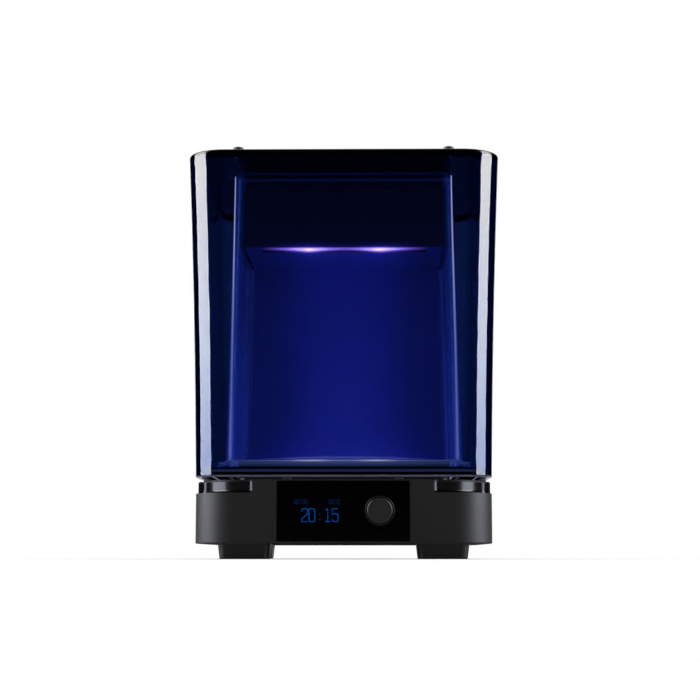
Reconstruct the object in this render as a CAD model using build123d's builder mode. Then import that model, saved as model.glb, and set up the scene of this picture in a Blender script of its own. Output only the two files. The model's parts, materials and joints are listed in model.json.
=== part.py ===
from build123d import *
import os
from math import radians, tan

# Light curing unit for a dental laboratory, in millimetres.
# A base with a turntable and a lamp tower stands under a lift-off hood of smoked plastic.
# +Z is up, the front faces -Y, and +X is on the right seen from the front.
# The origin is on the surface that the unit stands on, under its centre.

# ---------------------------------------------------------------- driving dimensions
# Base housing
FOOT_HEIGHT = 11.5
BASE_WIDTH = 227.0
BASE_DEPTH = 240.0
BASE_HEIGHT = 48.0
BASE_CORNER_R = 30.0
BASE_WALL = 3.5
BASE_TOP_EDGE_R = 1.5
BASE_LOW_EDGE_R = 1.0
BOTTOM_PLATE = 2.0
PLATE_GAP = 0.3
MIN_CORNER_R = 1.0
VENT_SLOT_LENGTH = 24.0
VENT_SLOT_WIDTH = 3.2
VENT_PITCH = 8.0
VENT_ROW_PITCH = 30.0
VENT_COLUMNS = 7
VENT_ROWS = 2

# Feet: square blocks that taper downwards, each on one screw
FOOT_TOP = 40.0
FOOT_TAPER = 1.4
FOOT_CORNER_R = 7.0
FOOT_EDGE_R = 0.8
FRONT_FOOT_SETBACK = 38.2
REAR_FOOT_SETBACK = 29.5
FOOT_END_SETBACK = 30.0
BOSS_R = 5.0
SCREW_R = 1.75
SCREW_HEAD_R = 3.4
SCREW_HEAD = 2.2
SCREW_GRIP = 9.0
HEAD_CLEARANCE = 0.6
FOOT_POCKET = 4.0

# Finger grips in the two front top corners
GRIP_LENGTH = 45.5
GRIP_DEPTH = 7.0
GRIP_HEIGHT = 10.0
GRIP_BACK_R = 33.0
GRIP_END_R = 4.5
GRIP_FLOOR_R = 2.5
LINER_WALL = 2.0
GRIP_SKIN = 1.5

# Control panel, display and knob
PANEL_WIDTH = 100.0
PANEL_HEIGHT = 45.5
PANEL_Z = 35.7
PANEL_THICKNESS = 2.0
PANEL_CORNER_R = 1.0
PANEL_WINDOW_RIM = 5.0
CONTROL_Z = 35.9
DISPLAY_X = -21.5
DISPLAY_WIDTH = 42.0
DISPLAY_HEIGHT = 25.0
DISPLAY_THICKNESS = 4.0
DISPLAY_CORNER_R = 1.0
KNOB_X = 27.4
KNOB_R = 9.5
KNOB_STANDOUT = 6.5
KNOB_EDGE_R = 0.9
KNOB_LIP = 0.5
KNOB_DISH = 0.4
KNOB_TRAVEL = 1.0
KNOB_CLEARANCE = 0.3
KNOB_FACE = 2.0
BEZEL_R = 11.2
BEZEL_STANDOUT = 1.0
BEZEL_LIP = 0.7
BEZEL_STEP = 0.7
BEZEL_EDGE_R = 0.3
ENCODER_SIZE = 12.0
ENCODER_FRONT = 8.0
SHAFT_R = 3.0
SHAFT_LENGTH = 18.4
PLUNGER_R = 2.6
PLUNGER_LENGTH = 1.5
ENCODER_CLEARANCE = 0.3
ENCODER_REAR_WALL = 1.0
ENCODER_CORNER_R = 1.0
BOARD_THICKNESS = 1.6
CONTROL_BOARD_HEIGHT = 36.0
POST_R = 2.5
POST_GAP = 0.5
POST_MARGIN = 1.0

# Raised deck and turntable
DECK_WIDTH = 164.0
DECK_DEPTH = 176.0
DECK_HEIGHT = 15.5
DECK_CORNER_R = 10.0
DECK_EDGE_R = 2.0
DECK_WALL = 3.0
SPINE_SLOT_GAP = 1.0
TURNTABLE_R = 64.0
DISC_SETBACK = 2.0
DISC_THICKNESS = 3.0
DISC_EDGE_R = 1.0
DISC_GAP = 0.8
HUB_FLANGE_R = 22.0
HUB_FLANGE = 3.5
HUB_STEM_R = 8.0
HUB_POCKET_GAP = 1.0
BEARING_WALL = 3.0
BEARING_FLANGE_R = 15.0
BEARING_FLANGE = 1.0
RUNNING_FIT = 0.05
AXIAL_GAP = 0.3
DECK_BOSS_WALL = 4.0
MOTOR_R = 25.0
MOTOR_HEIGHT = 20.0
MOTOR_SHAFT_R = 3.0
MOTOR_SHAFT_LENGTH = 22.0
MOTOR_NOSE_R = 7.0
MOTOR_EDGE_R = 2.0
MOTOR_SHAFT_SEAT = 4.0
MOTOR_BORE_FLOOR = 1.0
BRACKET_WIDTH = 76.0
BRACKET_DEPTH = 40.0
BRACKET_THICKNESS = 2.0
BRACKET_CORNER_R = 5.0

# Hood: smoked sleeve that flares upwards, black top plate, clear inner box
PAD_HEIGHT = 2.0
HOOD_OVERHANG = 0.2
SLEEVE_HEIGHT = 247.5
SLEEVE_WALL = 4.0
HOOD_FLARE = 7.1
HOOD_FLARE_MID = 2.65
HOOD_CORNER_R = 27.0
HOOD_CORNER_GROWTH = 2.0
RIM_HEIGHT = 3.0
RIM_EDGE_R = 1.4
TOP_PLATE = 3.0
TOP_EDGE_R = 1.8
TOP_RIB = 3.0
TOP_RIB_WALL = 2.0
TOP_RIB_GAP = 0.5
BUMPER_R = 4.2
BUMPER_HEIGHT = 4.5
BUMPER_EDGE_R = 1.6
BUMPER_SIDE_SETBACK = 39.3
BUMPER_SETBACK = 14.0
BOX_SIDE_GAP = 4.7
BOX_END_GAP = 6.0
BOX_TOP_GAP = 7.5
BOX_DRAFT = 1.1
BOX_WALL = 4.0
BOX_CORNER_R = 9.5
BOX_TOP_R = 3.5
BOX_FLANGE = 4.0
BOX_FLANGE_REACH = 6.3
BOX_FLANGE_R = 14.0
BOX_FOOT_R = 3.0
STUD_R = 3.6
STUD_HEIGHT = 4.0
STUD_SIDE_SETBACK = 18.5
STUD_SETBACK = 12.0
STUD_EDGE_R = 1.0
GASKET = 1.5
GASKET_WIDTH = 6.0
GASKET_INSET = 0.5
RIM_GASKET_WIDTH = 3.0
FRAME_RISE = 0.8
FRAME_SHELF = 2.0
FRAME_SKIRT = 3.7
FRAME_WALL = 2.5
PAD_LENGTH = 6.7
PAD_WIDTH = 3.6
PAD_CORNER_R = 1.0
FRONT_PAD_X = 42.2
SIDE_PAD_Y = 45.0
MAGNET_R = 3.0
SENSOR_LENGTH = 16.0
SENSOR_WIDTH = 5.0
SENSOR_HEIGHT = 4.0

# Lamp tower
TOWER_GAP = 1.2
TOWER_WALL = 2.5
CUT_MARGIN = 2.0
TOWER_SETBACK = 4.0
TOWER_DEPTH = 36.0
REFLECTOR_THICKNESS = 1.5
HEAD_LENGTH = 144.0
HEAD_HEIGHT = 48.0
HEAD_GAP = 1.5
HEAD_EDGE_R = 3.0
CEILING_THICKNESS = 1.2
LENS_LENGTH = 131.0
LENS_R = 4.2
LENS_FLANGE = 1.2
LENS_FLANGE_RIM = 1.8
EMITTER_X = 28.5
EMITTER_SIZE = 9.0
EMITTER_HEIGHT = 1.6
EMITTER_CORNER_R = 1.0
HEATSINK_OVERHANG = 4.5
HEATSINK_DEPTH = 44.0
HEATSINK_BASE = 5.0
HEATSINK_GAP = 0.5
FIN_COUNT = 12
FIN_THICKNESS = 2.0
SPINE_WIDTH = 80.0
SPINE_DEPTH = 16.0
SPINE_SHEET = 2.0
SPINE_FOOT = 30.0
SPINE_ARM_WIDTH = 60.0
SPINE_ARM_SETBACK = 10.0
SPINE_GAP = 1.0
WIRING_SLOT_LENGTH = 50.0
WIRING_SLOT_WIDTH = 12.0
WIRING_SLOT_GAP = 4.0
HEATER_WIDTH = 120.0
HEATER_MARGIN = 21.5
HEATER_THICKNESS = 1.5
HEATER_CORNER_R = 6.0

# Rear panel: mains inlet, rocker switch, fan and grille
REAR_Z = 35.0
INLET_X = 52.0
INLET_WIDTH = 27.0
INLET_HEIGHT = 20.0
INLET_LENGTH = 24.0
INLET_FLANGE = 2.0
INLET_FLANGE_RIM = 2.5
INLET_WALL = 1.6
INLET_CAVITY = 17.0
INLET_CORNER_R = 2.0
INLET_KEY = 4.0
PIN_WIDTH = 2.0
PIN_HEIGHT = 4.0
PIN_LENGTH = 14.0
PIN_PITCH = 7.0
PIN_RISE = 2.5
SWITCH_X = 21.0
SWITCH_WIDTH = 15.0
SWITCH_HEIGHT = 24.0
SWITCH_FLANGE = 1.6
SWITCH_RIM = 1.2
SWITCH_LENGTH = 15.0
SWITCH_CAVITY = 8.0
SWITCH_CORNER_R = 1.0
ROCKER_WIDTH = 10.6
ROCKER_HALF = 8.8
ROCKER_DEPTH = 6.6
ROCKER_DIP = 1.4
ROCKER_TILT = 10.0
ROCKER_SINK = 1.0
ROCKER_FOOT_INSET = 1.8
ROCKER_GAP = 0.3
ROCKER_END_GAP = 1.1
ROCKER_PIN_R = 1.2
ROCKER_PIN_REACH = 1.2
ROCKER_PIN_END_GAP = 0.2
FAN_X = -45.0
FAN_SIZE = 40.0
FAN_DEPTH = 10.0
FAN_BORE_R = 19.0
FAN_CORNER_R = 3.0
FAN_STRUTS = 3
FAN_STRUT_WIDTH = 2.2
FAN_STRUT_DEPTH = 1.5
FAN_HUB_R = 8.0
FAN_HUB_GAP = 0.5
FAN_HUB_DEPTH = 7.0
FAN_HUB_EDGE_R = 1.0
FAN_BLADES = 7
FAN_TIP_GAP = 0.8
FAN_ROOT_CHORD = 7.0
FAN_ROOT_PITCH = 42.0
FAN_TIP_CHORD = 9.5
FAN_TIP_PITCH = 26.0
FAN_BLADE_THICKNESS = 1.0
FAN_BLADE_SINK = 1.2
GRILLE_SIZE = 44.0
GRILLE_THICKNESS = 2.0
GRILLE_SLOT = 2.6
GRILLE_PITCH = 4.6
GRILLE_RIM = 3.0
GRILLE_SLOTS = 8
GRILLE_BORDER = 6.0

# Electronics in the base
SUPPLY_WIDTH = 62.0
SUPPLY_DEPTH = 110.0
SUPPLY_HEIGHT = 30.0
SUPPLY_GAP = 7.0
SUPPLY_CORNER_R = 1.5
MAIN_BOARD_WIDTH = 66.0
MAIN_BOARD_DEPTH = 100.0
MAIN_BOARD_GAP = 5.0
STANDOFF_HEIGHT = 6.5
STANDOFF_R = 3.0
STANDOFF_INSET = 5.0
CHIP_SIZE = 16.0
CHIP_X = 12.0
CHIP_Y = 20.0
CONNECTOR_LENGTH = 40.0
CONNECTOR_WIDTH = 12.0
CONNECTOR_Y = -25.0
CHIP_HEIGHT = 8.0

# ---------------------------------------------------------------- places worked out from them
SIDE = BASE_WIDTH / 2
BACK = BASE_DEPTH / 2
BASE_BOTTOM = FOOT_HEIGHT
BASE_TOP = BASE_BOTTOM + BASE_HEIGHT
PLATE_TOP = BASE_BOTTOM + BOTTOM_PLATE
PLATE_INSET = BASE_WALL + PLATE_GAP
CEILING_IN_BASE = BASE_TOP - BASE_WALL
DECK_TOP = BASE_TOP + DECK_HEIGHT
HOOD_BOTTOM = BASE_TOP + PAD_HEIGHT
HOOD_WIDTH = BASE_WIDTH + 2 * HOOD_OVERHANG
HOOD_DEPTH = BASE_DEPTH
SLEEVE_TOP = HOOD_BOTTOM + SLEEVE_HEIGHT
HOOD_TOP = SLEEVE_TOP + TOP_PLATE
FRAME_BOTTOM = HOOD_BOTTOM + FRAME_RISE
SHELF_BOTTOM = FRAME_BOTTOM + FRAME_SKIRT
SHELF_TOP = SHELF_BOTTOM + FRAME_SHELF
BOX_BOTTOM = SHELF_TOP + GASKET
BOX_TOP = SLEEVE_TOP - BOX_TOP_GAP
BOX_HEIGHT = BOX_TOP - BOX_BOTTOM - BOX_FLANGE
BOX_WIDTH = DECK_WIDTH + 2 * (BOX_SIDE_GAP + BOX_WALL)
BOX_DEPTH = DECK_DEPTH + 2 * (BOX_END_GAP + BOX_WALL)
TURNTABLE_Y = TURNTABLE_R + DISC_SETBACK - DECK_DEPTH / 2
TOWER_BACK = DECK_DEPTH / 2 - TOWER_SETBACK
REFLECTOR_Y = TOWER_BACK - TOWER_DEPTH
HEAD_FRONT = TOWER_BACK - HEAD_LENGTH
HEAD_TOP = BOX_TOP - BOX_WALL - HEAD_GAP
HEAD_BOTTOM = HEAD_TOP - HEAD_HEIGHT
CHAMBER_HEIGHT = HEAD_BOTTOM - DECK_TOP
LENS_Y = HEAD_FRONT + TOWER_WALL + LENS_R + LENS_FLANGE_RIM
CEILING_TOP = HEAD_BOTTOM + CEILING_THICKNESS
EMITTER_BOTTOM = CEILING_TOP + LENS_FLANGE
LED_BOARD_BOTTOM = EMITTER_BOTTOM + EMITTER_HEIGHT
HEATSINK_BOTTOM = LED_BOARD_BOTTOM + BOARD_THICKNESS
ARM_TOP = HEAD_TOP - TOWER_WALL - SPINE_GAP
ARM_BOTTOM = ARM_TOP - SPINE_SHEET
HEATSINK_TOP = ARM_BOTTOM
HEATSINK_WIDTH = LENS_LENGTH + 2 * HEATSINK_OVERHANG
HEATSINK_Y = HEAD_FRONT + TOWER_WALL + HEATSINK_GAP + HEATSINK_DEPTH / 2
FIN_PITCH = (HEATSINK_WIDTH - FIN_THICKNESS) / (FIN_COUNT - 1)
SPINE_BACK = TOWER_BACK - TOWER_WALL - SPINE_GAP
SPINE_INSIDE = SPINE_WIDTH - 2 * SPINE_SHEET
SPINE_ARM_LENGTH = SPINE_BACK - HEAD_FRONT - TOWER_WALL - SPINE_ARM_SETBACK
WIRING_SLOT_Y = SPINE_BACK - SPINE_FOOT - WIRING_SLOT_GAP - WIRING_SLOT_WIDTH / 2

SUPPLY_X = SIDE - BASE_WALL - SUPPLY_GAP - SUPPLY_WIDTH / 2
MAIN_BOARD_X = MAIN_BOARD_WIDTH / 2 + MAIN_BOARD_GAP + BASE_WALL - SIDE

FRONT_FOOT_X = SIDE - FRONT_FOOT_SETBACK
REAR_FOOT_X = SIDE - REAR_FOOT_SETBACK
FOOT_Y = BACK - FOOT_END_SETBACK
FOOT_LOW = FOOT_TOP - 2 * FOOT_TAPER

FRONT_FACE = Plane.XZ.offset(BACK)
REAR_FACE = Plane(origin=(0, BACK, 0), x_dir=(-1, 0, 0), z_dir=(0, 1, 0))
KNOB_AXIS = Plane(origin=(KNOB_X, -BACK, CONTROL_Z), x_dir=(1, 0, 0), z_dir=(0, -1, 0))
FAN_AXIS = Plane(origin=(FAN_X, BACK - BASE_WALL, REAR_Z), x_dir=(-1, 0, 0), z_dir=(0, 1, 0))
TURN_AXIS = Plane.XY.offset(DECK_TOP + DISC_GAP)

FOOT_PLACES = [
    (FRONT_FOOT_X, -FOOT_Y),
    (-FRONT_FOOT_X, -FOOT_Y),
    (REAR_FOOT_X, FOOT_Y),
    (-REAR_FOOT_X, FOOT_Y),
]

os.makedirs("parts", exist_ok=True)
pieces = {}


def keep(name, piece):
    """Labels a finished piece and writes it under its own name."""
    piece.label = name
    pieces[name] = piece
    export_step(piece, f"parts/{name}.step")


# ---------------------------------------------------------------- shared forms
def base_block():
    """The base's outside, before anything is cut from it."""
    with BuildPart() as block:
        with BuildSketch(Plane.XY.offset(BASE_BOTTOM)):
            RectangleRounded(BASE_WIDTH, BASE_DEPTH, BASE_CORNER_R)
        extrude(amount=BASE_HEIGHT)
        fillet(block.faces().sort_by(Axis.Z)[-1].edges(), BASE_TOP_EDGE_R)
        fillet(block.faces().sort_by(Axis.Z)[0].edges(), BASE_LOW_EDGE_R)
    return block.part


def grip_block(wall):
    """The right-hand grip's hollow, grown by a wall at its back, its ends and its floor."""
    with BuildPart() as block:
        with BuildSketch(Plane.XY.offset(BASE_TOP - GRIP_HEIGHT - wall)) as plan:
            with Locations((SIDE, -BACK)):
                Rectangle(2 * GRIP_LENGTH, 2 * GRIP_LENGTH)
            RectangleRounded(
                BASE_WIDTH - 2 * GRIP_DEPTH, BASE_DEPTH - 2 * GRIP_DEPTH, GRIP_BACK_R, mode=Mode.SUBTRACT
            )
            front_end = plan.vertices().sort_by(Axis.X)[:2].sort_by(Axis.Y)[-1]
            side_end = plan.vertices().sort_by(Axis.Y)[-2:].sort_by(Axis.X)[0]
            fillet([front_end, side_end], GRIP_END_R)
            if wall > 0:
                offset(amount=wall)
        extrude(amount=GRIP_HEIGHT + wall + BASE_WALL)
        fillet(block.faces().sort_by(Axis.Z)[0].edges(), GRIP_FLOOR_R + wall)
    return block.part


def box_block(inset, low, high):
    """A solid with the inner box's draft, set in from its outside, between two heights."""
    draft = tan(radians(BOX_DRAFT))
    corner = max(BOX_CORNER_R - inset, MIN_CORNER_R)
    with BuildPart() as block:
        for height in (low, high):
            shrink = inset + (height - BOX_BOTTOM - BOX_FLANGE) * draft
            with BuildSketch(Plane.XY.offset(height)):
                RectangleRounded(BOX_WIDTH - 2 * shrink, BOX_DEPTH - 2 * shrink, corner)
        loft(ruled=True)
    return block.part


def sleeve_block(inset, edge):
    """The hood's flared form on a short straight rim, set in from its outside; the edge rounds its foot."""
    levels = [
        (HOOD_BOTTOM + RIM_HEIGHT, 0.0, 0.0),
        (HOOD_BOTTOM + SLEEVE_HEIGHT / 2, HOOD_FLARE_MID, HOOD_CORNER_GROWTH / 2),
        (SLEEVE_TOP, HOOD_FLARE, HOOD_CORNER_GROWTH),
    ]
    with BuildPart() as block:
        with BuildSketch(Plane.XY.offset(HOOD_BOTTOM)):
            RectangleRounded(HOOD_WIDTH - 2 * inset, HOOD_DEPTH - 2 * inset, HOOD_CORNER_R - inset)
        extrude(amount=RIM_HEIGHT)
        if edge > 0:
            fillet(block.faces().sort_by(Axis.Z)[0].edges(), edge)
        for height, flare, growth in levels:
            grow = 2 * (flare - inset)
            with BuildSketch(Plane.XY.offset(height)):
                RectangleRounded(HOOD_WIDTH + grow, HOOD_DEPTH + grow, HOOD_CORNER_R + growth - inset)
        loft()
    return block.part


def ring(width, depth, radius, wall):
    """In a sketch: a rounded rectangular ring with the given outside and wall."""
    RectangleRounded(width, depth, radius)
    inside_radius = max(radius - wall, MIN_CORNER_R)
    RectangleRounded(width - 2 * wall, depth - 2 * wall, inside_radius, mode=Mode.SUBTRACT)


# ---------------------------------------------------------------- base housing
grip_hollow = grip_block(0)

with BuildPart() as base_core:
    with BuildSketch(Plane.XY.offset(BASE_BOTTOM)):
        RectangleRounded(BASE_WIDTH - 2 * GRIP_SKIN, BASE_DEPTH - 2 * GRIP_SKIN, BASE_CORNER_R - GRIP_SKIN)
    extrude(amount=BASE_HEIGHT - GRIP_SKIN)

# the liner is fitted from inside, so its socket stops behind the skin
with BuildPart() as grip_socket:
    add(grip_block(LINER_WALL))
    add(base_core.part, mode=Mode.INTERSECT)

with BuildPart() as base_shell:
    add(base_block())
    with BuildSketch(Plane.XY.offset(BASE_BOTTOM)):
        RectangleRounded(BASE_WIDTH - 2 * BASE_WALL, BASE_DEPTH - 2 * BASE_WALL, BASE_CORNER_R - BASE_WALL)
    extrude(amount=BASE_HEIGHT - BASE_WALL, mode=Mode.SUBTRACT)
    with BuildSketch(Plane.XY.offset(PLATE_TOP)):
        with Locations(*FOOT_PLACES):
            Circle(BOSS_R)
    extrude(amount=CEILING_IN_BASE - PLATE_TOP)
    with BuildSketch(Plane.XY.offset(PLATE_TOP)):
        with Locations(*FOOT_PLACES):
            Circle(SCREW_R)
    extrude(amount=SCREW_GRIP, mode=Mode.SUBTRACT)
    for cut in (grip_socket.part, grip_hollow):
        add(cut, mode=Mode.SUBTRACT)
        add(mirror(cut, about=Plane.YZ, mode=Mode.PRIVATE), mode=Mode.SUBTRACT)
    # seat of the control panel, and the window behind it
    with BuildSketch(FRONT_FACE):
        with Locations((0, PANEL_Z)):
            RectangleRounded(PANEL_WIDTH, PANEL_HEIGHT, PANEL_CORNER_R)
    extrude(amount=-PANEL_THICKNESS, mode=Mode.SUBTRACT)
    with BuildSketch(FRONT_FACE):
        with Locations((0, PANEL_Z)):
            Rectangle(PANEL_WIDTH - 2 * PANEL_WINDOW_RIM, PANEL_HEIGHT - 2 * PANEL_WINDOW_RIM)
    extrude(amount=-BASE_WALL, mode=Mode.SUBTRACT)
    # holes in the top for the turntable's hub and the tower's wiring
    with BuildSketch(Plane.XY.offset(BASE_TOP)):
        with Locations((0, TURNTABLE_Y)):
            Circle(HUB_STEM_R + BEARING_WALL)
        with Locations((0, WIRING_SLOT_Y)):
            SlotOverall(WIRING_SLOT_LENGTH, WIRING_SLOT_WIDTH)
    extrude(amount=-BASE_WALL, mode=Mode.SUBTRACT)
    # openings in the rear wall
    with BuildSketch(REAR_FACE):
        with Locations((-INLET_X, REAR_Z)):
            Rectangle(INLET_WIDTH, INLET_HEIGHT)
        with Locations((-SWITCH_X, REAR_Z)):
            Rectangle(SWITCH_WIDTH, SWITCH_HEIGHT)
        with Locations((-FAN_X, REAR_Z)):
            Circle(FAN_BORE_R)
    extrude(amount=-BASE_WALL, mode=Mode.SUBTRACT)
    with BuildSketch(REAR_FACE):
        with Locations((-FAN_X, REAR_Z)):
            RectangleRounded(GRILLE_SIZE, GRILLE_SIZE, GRILLE_RIM)
    extrude(amount=-GRILLE_THICKNESS, mode=Mode.SUBTRACT)
keep("base_shell", base_shell.part)

with BuildPart() as grip_liner_right:
    add(grip_socket.part)
    add(grip_hollow, mode=Mode.SUBTRACT)
keep("grip_liner_right", grip_liner_right.part)

with BuildPart() as grip_liner_left:
    mirror(grip_liner_right.part, about=Plane.YZ)
keep("grip_liner_left", grip_liner_left.part)

with BuildPart() as bottom_plate:
    with BuildSketch(Plane.XY.offset(BASE_BOTTOM)):
        RectangleRounded(
            BASE_WIDTH - 2 * PLATE_INSET, BASE_DEPTH - 2 * PLATE_INSET, BASE_CORNER_R - PLATE_INSET
        )
        with Locations(*FOOT_PLACES):
            Circle(SCREW_R, mode=Mode.SUBTRACT)
        with GridLocations(VENT_PITCH, VENT_ROW_PITCH, VENT_COLUMNS, VENT_ROWS):
            SlotOverall(VENT_SLOT_LENGTH, VENT_SLOT_WIDTH, rotation=90, mode=Mode.SUBTRACT)
    extrude(amount=BOTTOM_PLATE)
keep("bottom_plate", bottom_plate.part)

with BuildPart() as feet:
    for place in FOOT_PLACES:
        with BuildSketch(Plane.XY.offset(FOOT_HEIGHT)):
            with Locations(place):
                RectangleRounded(FOOT_TOP, FOOT_TOP, FOOT_CORNER_R)
        with BuildSketch(Plane.XY):
            with Locations(place):
                RectangleRounded(FOOT_LOW, FOOT_LOW, FOOT_CORNER_R - FOOT_TAPER)
        loft(ruled=True)
    fillet(feet.faces().filter_by(Plane.XY).group_by(Axis.Z)[0].edges(), FOOT_EDGE_R)
    with BuildSketch(Plane.XY):
        with Locations(*FOOT_PLACES):
            Circle(SCREW_HEAD_R + HEAD_CLEARANCE)
    extrude(amount=FOOT_POCKET, mode=Mode.SUBTRACT)
    with BuildSketch(Plane.XY):
        with Locations(*FOOT_PLACES):
            Circle(SCREW_R)
    extrude(amount=FOOT_HEIGHT, mode=Mode.SUBTRACT)
keep("feet", feet.part)

with BuildPart() as foot_screws:
    with BuildSketch(Plane.XY.offset(FOOT_POCKET - SCREW_HEAD)):
        with Locations(*FOOT_PLACES):
            Circle(SCREW_HEAD_R)
    extrude(amount=SCREW_HEAD)
    with BuildSketch(Plane.XY.offset(FOOT_POCKET)):
        with Locations(*FOOT_PLACES):
            Circle(SCREW_R)
    extrude(amount=PLATE_TOP + SCREW_GRIP - FOOT_POCKET)
keep("foot_screws", foot_screws.part)

# ---------------------------------------------------------------- control panel
with BuildPart() as control_panel:
    with BuildSketch(FRONT_FACE):
        with Locations((0, PANEL_Z)):
            RectangleRounded(PANEL_WIDTH, PANEL_HEIGHT, PANEL_CORNER_R)
        with Locations((KNOB_X, CONTROL_Z)):
            Circle(SHAFT_R + ENCODER_CLEARANCE, mode=Mode.SUBTRACT)
    extrude(amount=-PANEL_THICKNESS)
keep("control_panel", control_panel.part)

with BuildPart() as display_module:
    with BuildSketch(FRONT_FACE.offset(-PANEL_THICKNESS)):
        with Locations((DISPLAY_X, CONTROL_Z)):
            Rectangle(DISPLAY_WIDTH, DISPLAY_HEIGHT)
    extrude(amount=-DISPLAY_THICKNESS)
    fillet(display_module.edges().filter_by(Axis.Y), DISPLAY_CORNER_R)
keep("display_module", display_module.part)

with BuildPart() as knob_bezel:
    with BuildSketch(KNOB_AXIS):
        Circle(BEZEL_R)
        Circle(KNOB_R + KNOB_CLEARANCE, mode=Mode.SUBTRACT)
    extrude(amount=BEZEL_STANDOUT)
    with BuildSketch(KNOB_AXIS.offset(BEZEL_STANDOUT)):
        Circle(BEZEL_R - BEZEL_LIP)
    extrude(amount=-BEZEL_STEP, mode=Mode.SUBTRACT)
    fillet(knob_bezel.faces().sort_by(Axis.Y)[0].edges(), BEZEL_EDGE_R)
keep("knob_bezel", knob_bezel.part)

KNOB_BACK = KNOB_TRAVEL + KNOB_CLEARANCE
SHAFT_START = KNOB_STANDOUT - KNOB_FACE
SHAFT_END = SHAFT_START - SHAFT_LENGTH
PLUNGER_END = SHAFT_END - PLUNGER_LENGTH
ENCODER_BACK = PLUNGER_END - KNOB_TRAVEL - KNOB_CLEARANCE - ENCODER_REAR_WALL

with BuildPart() as knob:
    with BuildSketch(KNOB_AXIS.offset(KNOB_BACK)):
        Circle(KNOB_R)
    extrude(amount=KNOB_STANDOUT - KNOB_BACK)
    fillet(knob.faces().sort_by(Axis.Y)[0].edges(), KNOB_EDGE_R)
    with BuildSketch(KNOB_AXIS.offset(KNOB_STANDOUT)):
        Circle(KNOB_R - KNOB_EDGE_R - KNOB_LIP)
    extrude(amount=-KNOB_DISH, mode=Mode.SUBTRACT)
    with BuildSketch(KNOB_AXIS.offset(KNOB_BACK)):
        Circle(SHAFT_R)
    extrude(amount=SHAFT_START - KNOB_BACK, mode=Mode.SUBTRACT)
keep("knob", knob.part)

with BuildPart() as encoder_shaft:
    with BuildSketch(KNOB_AXIS.offset(SHAFT_END)):
        Circle(SHAFT_R)
    extrude(amount=SHAFT_LENGTH)
keep("encoder_shaft", encoder_shaft.part)

with BuildPart() as encoder_plunger:
    with BuildSketch(KNOB_AXIS.offset(PLUNGER_END)):
        Circle(PLUNGER_R)
    extrude(amount=PLUNGER_LENGTH - RUNNING_FIT)
keep("encoder_plunger", encoder_plunger.part)

with BuildPart() as encoder_body:
    with BuildSketch(KNOB_AXIS.offset(ENCODER_BACK)):
        RectangleRounded(ENCODER_SIZE, ENCODER_SIZE, ENCODER_CORNER_R)
    extrude(amount=-ENCODER_FRONT - ENCODER_BACK)
    with BuildSketch(KNOB_AXIS.offset(ENCODER_BACK + ENCODER_REAR_WALL)):
        Circle(SHAFT_R + RUNNING_FIT)
    extrude(amount=-ENCODER_BACK, mode=Mode.SUBTRACT)
keep("encoder_body", encoder_body.part)

CONTROL_BOARD_FRONT = BACK + ENCODER_BACK
POST_X = PANEL_WIDTH / 2 - PANEL_WINDOW_RIM + POST_R + POST_GAP
POST_Z = CONTROL_BOARD_HEIGHT / 2 - POST_R - POST_MARGIN
CONTROL_BOARD_WIDTH = 2 * (POST_X + POST_R + POST_MARGIN)

with BuildPart() as control_board:
    with BuildSketch(Plane.XZ.offset(CONTROL_BOARD_FRONT)):
        with Locations((0, CONTROL_Z)):
            Rectangle(CONTROL_BOARD_WIDTH, CONTROL_BOARD_HEIGHT)
    extrude(amount=-BOARD_THICKNESS)
keep("control_board", control_board.part)

with BuildPart() as panel_posts:
    with BuildSketch(Plane.XZ.offset(CONTROL_BOARD_FRONT)):
        with Locations((0, CONTROL_Z)):
            with GridLocations(2 * POST_X, 2 * POST_Z, 2, 2):
                Circle(POST_R)
    extrude(amount=BACK - BASE_WALL - CONTROL_BOARD_FRONT)
keep("panel_posts", panel_posts.part)

# ---------------------------------------------------------------- deck, turntable and its drive
POCKET_FLOOR = DECK_TOP - HUB_FLANGE + DISC_GAP - AXIAL_GAP - BEARING_FLANGE
BEARING_R = HUB_STEM_R + BEARING_WALL
BRACKET_BOTTOM = CEILING_IN_BASE - BRACKET_THICKNESS
MOTOR_BOTTOM = BRACKET_BOTTOM - MOTOR_HEIGHT

with BuildPart() as deck_plate:
    with BuildSketch(Plane.XY.offset(BASE_TOP)):
        RectangleRounded(DECK_WIDTH, DECK_DEPTH, DECK_CORNER_R)
    extrude(amount=DECK_HEIGHT)
    fillet(deck_plate.faces().sort_by(Axis.Z)[-1].edges(), DECK_EDGE_R)
    with BuildSketch(Plane.XY.offset(BASE_TOP)):
        RectangleRounded(DECK_WIDTH - 2 * DECK_WALL, DECK_DEPTH - 2 * DECK_WALL, DECK_CORNER_R - DECK_WALL)
        with Locations((0, TURNTABLE_Y)):
            Circle(HUB_FLANGE_R + HUB_POCKET_GAP + DECK_BOSS_WALL, mode=Mode.SUBTRACT)
    extrude(amount=DECK_HEIGHT - DECK_WALL, mode=Mode.SUBTRACT)
    with BuildSketch(Plane.XY.offset(DECK_TOP)):
        with Locations((0, TURNTABLE_Y)):
            Circle(HUB_FLANGE_R + HUB_POCKET_GAP)
    extrude(amount=POCKET_FLOOR - DECK_TOP, mode=Mode.SUBTRACT)
    with BuildSketch(Plane.XY.offset(BASE_TOP)):
        with Locations((0, TURNTABLE_Y)):
            Circle(BEARING_R)
        with Locations((0, SPINE_BACK - SPINE_DEPTH / 2)):
            Rectangle(SPINE_WIDTH + 2 * SPINE_SLOT_GAP, SPINE_DEPTH + 2 * SPINE_SLOT_GAP)
    extrude(amount=DECK_HEIGHT, mode=Mode.SUBTRACT)
keep("deck_plate", deck_plate.part)

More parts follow.
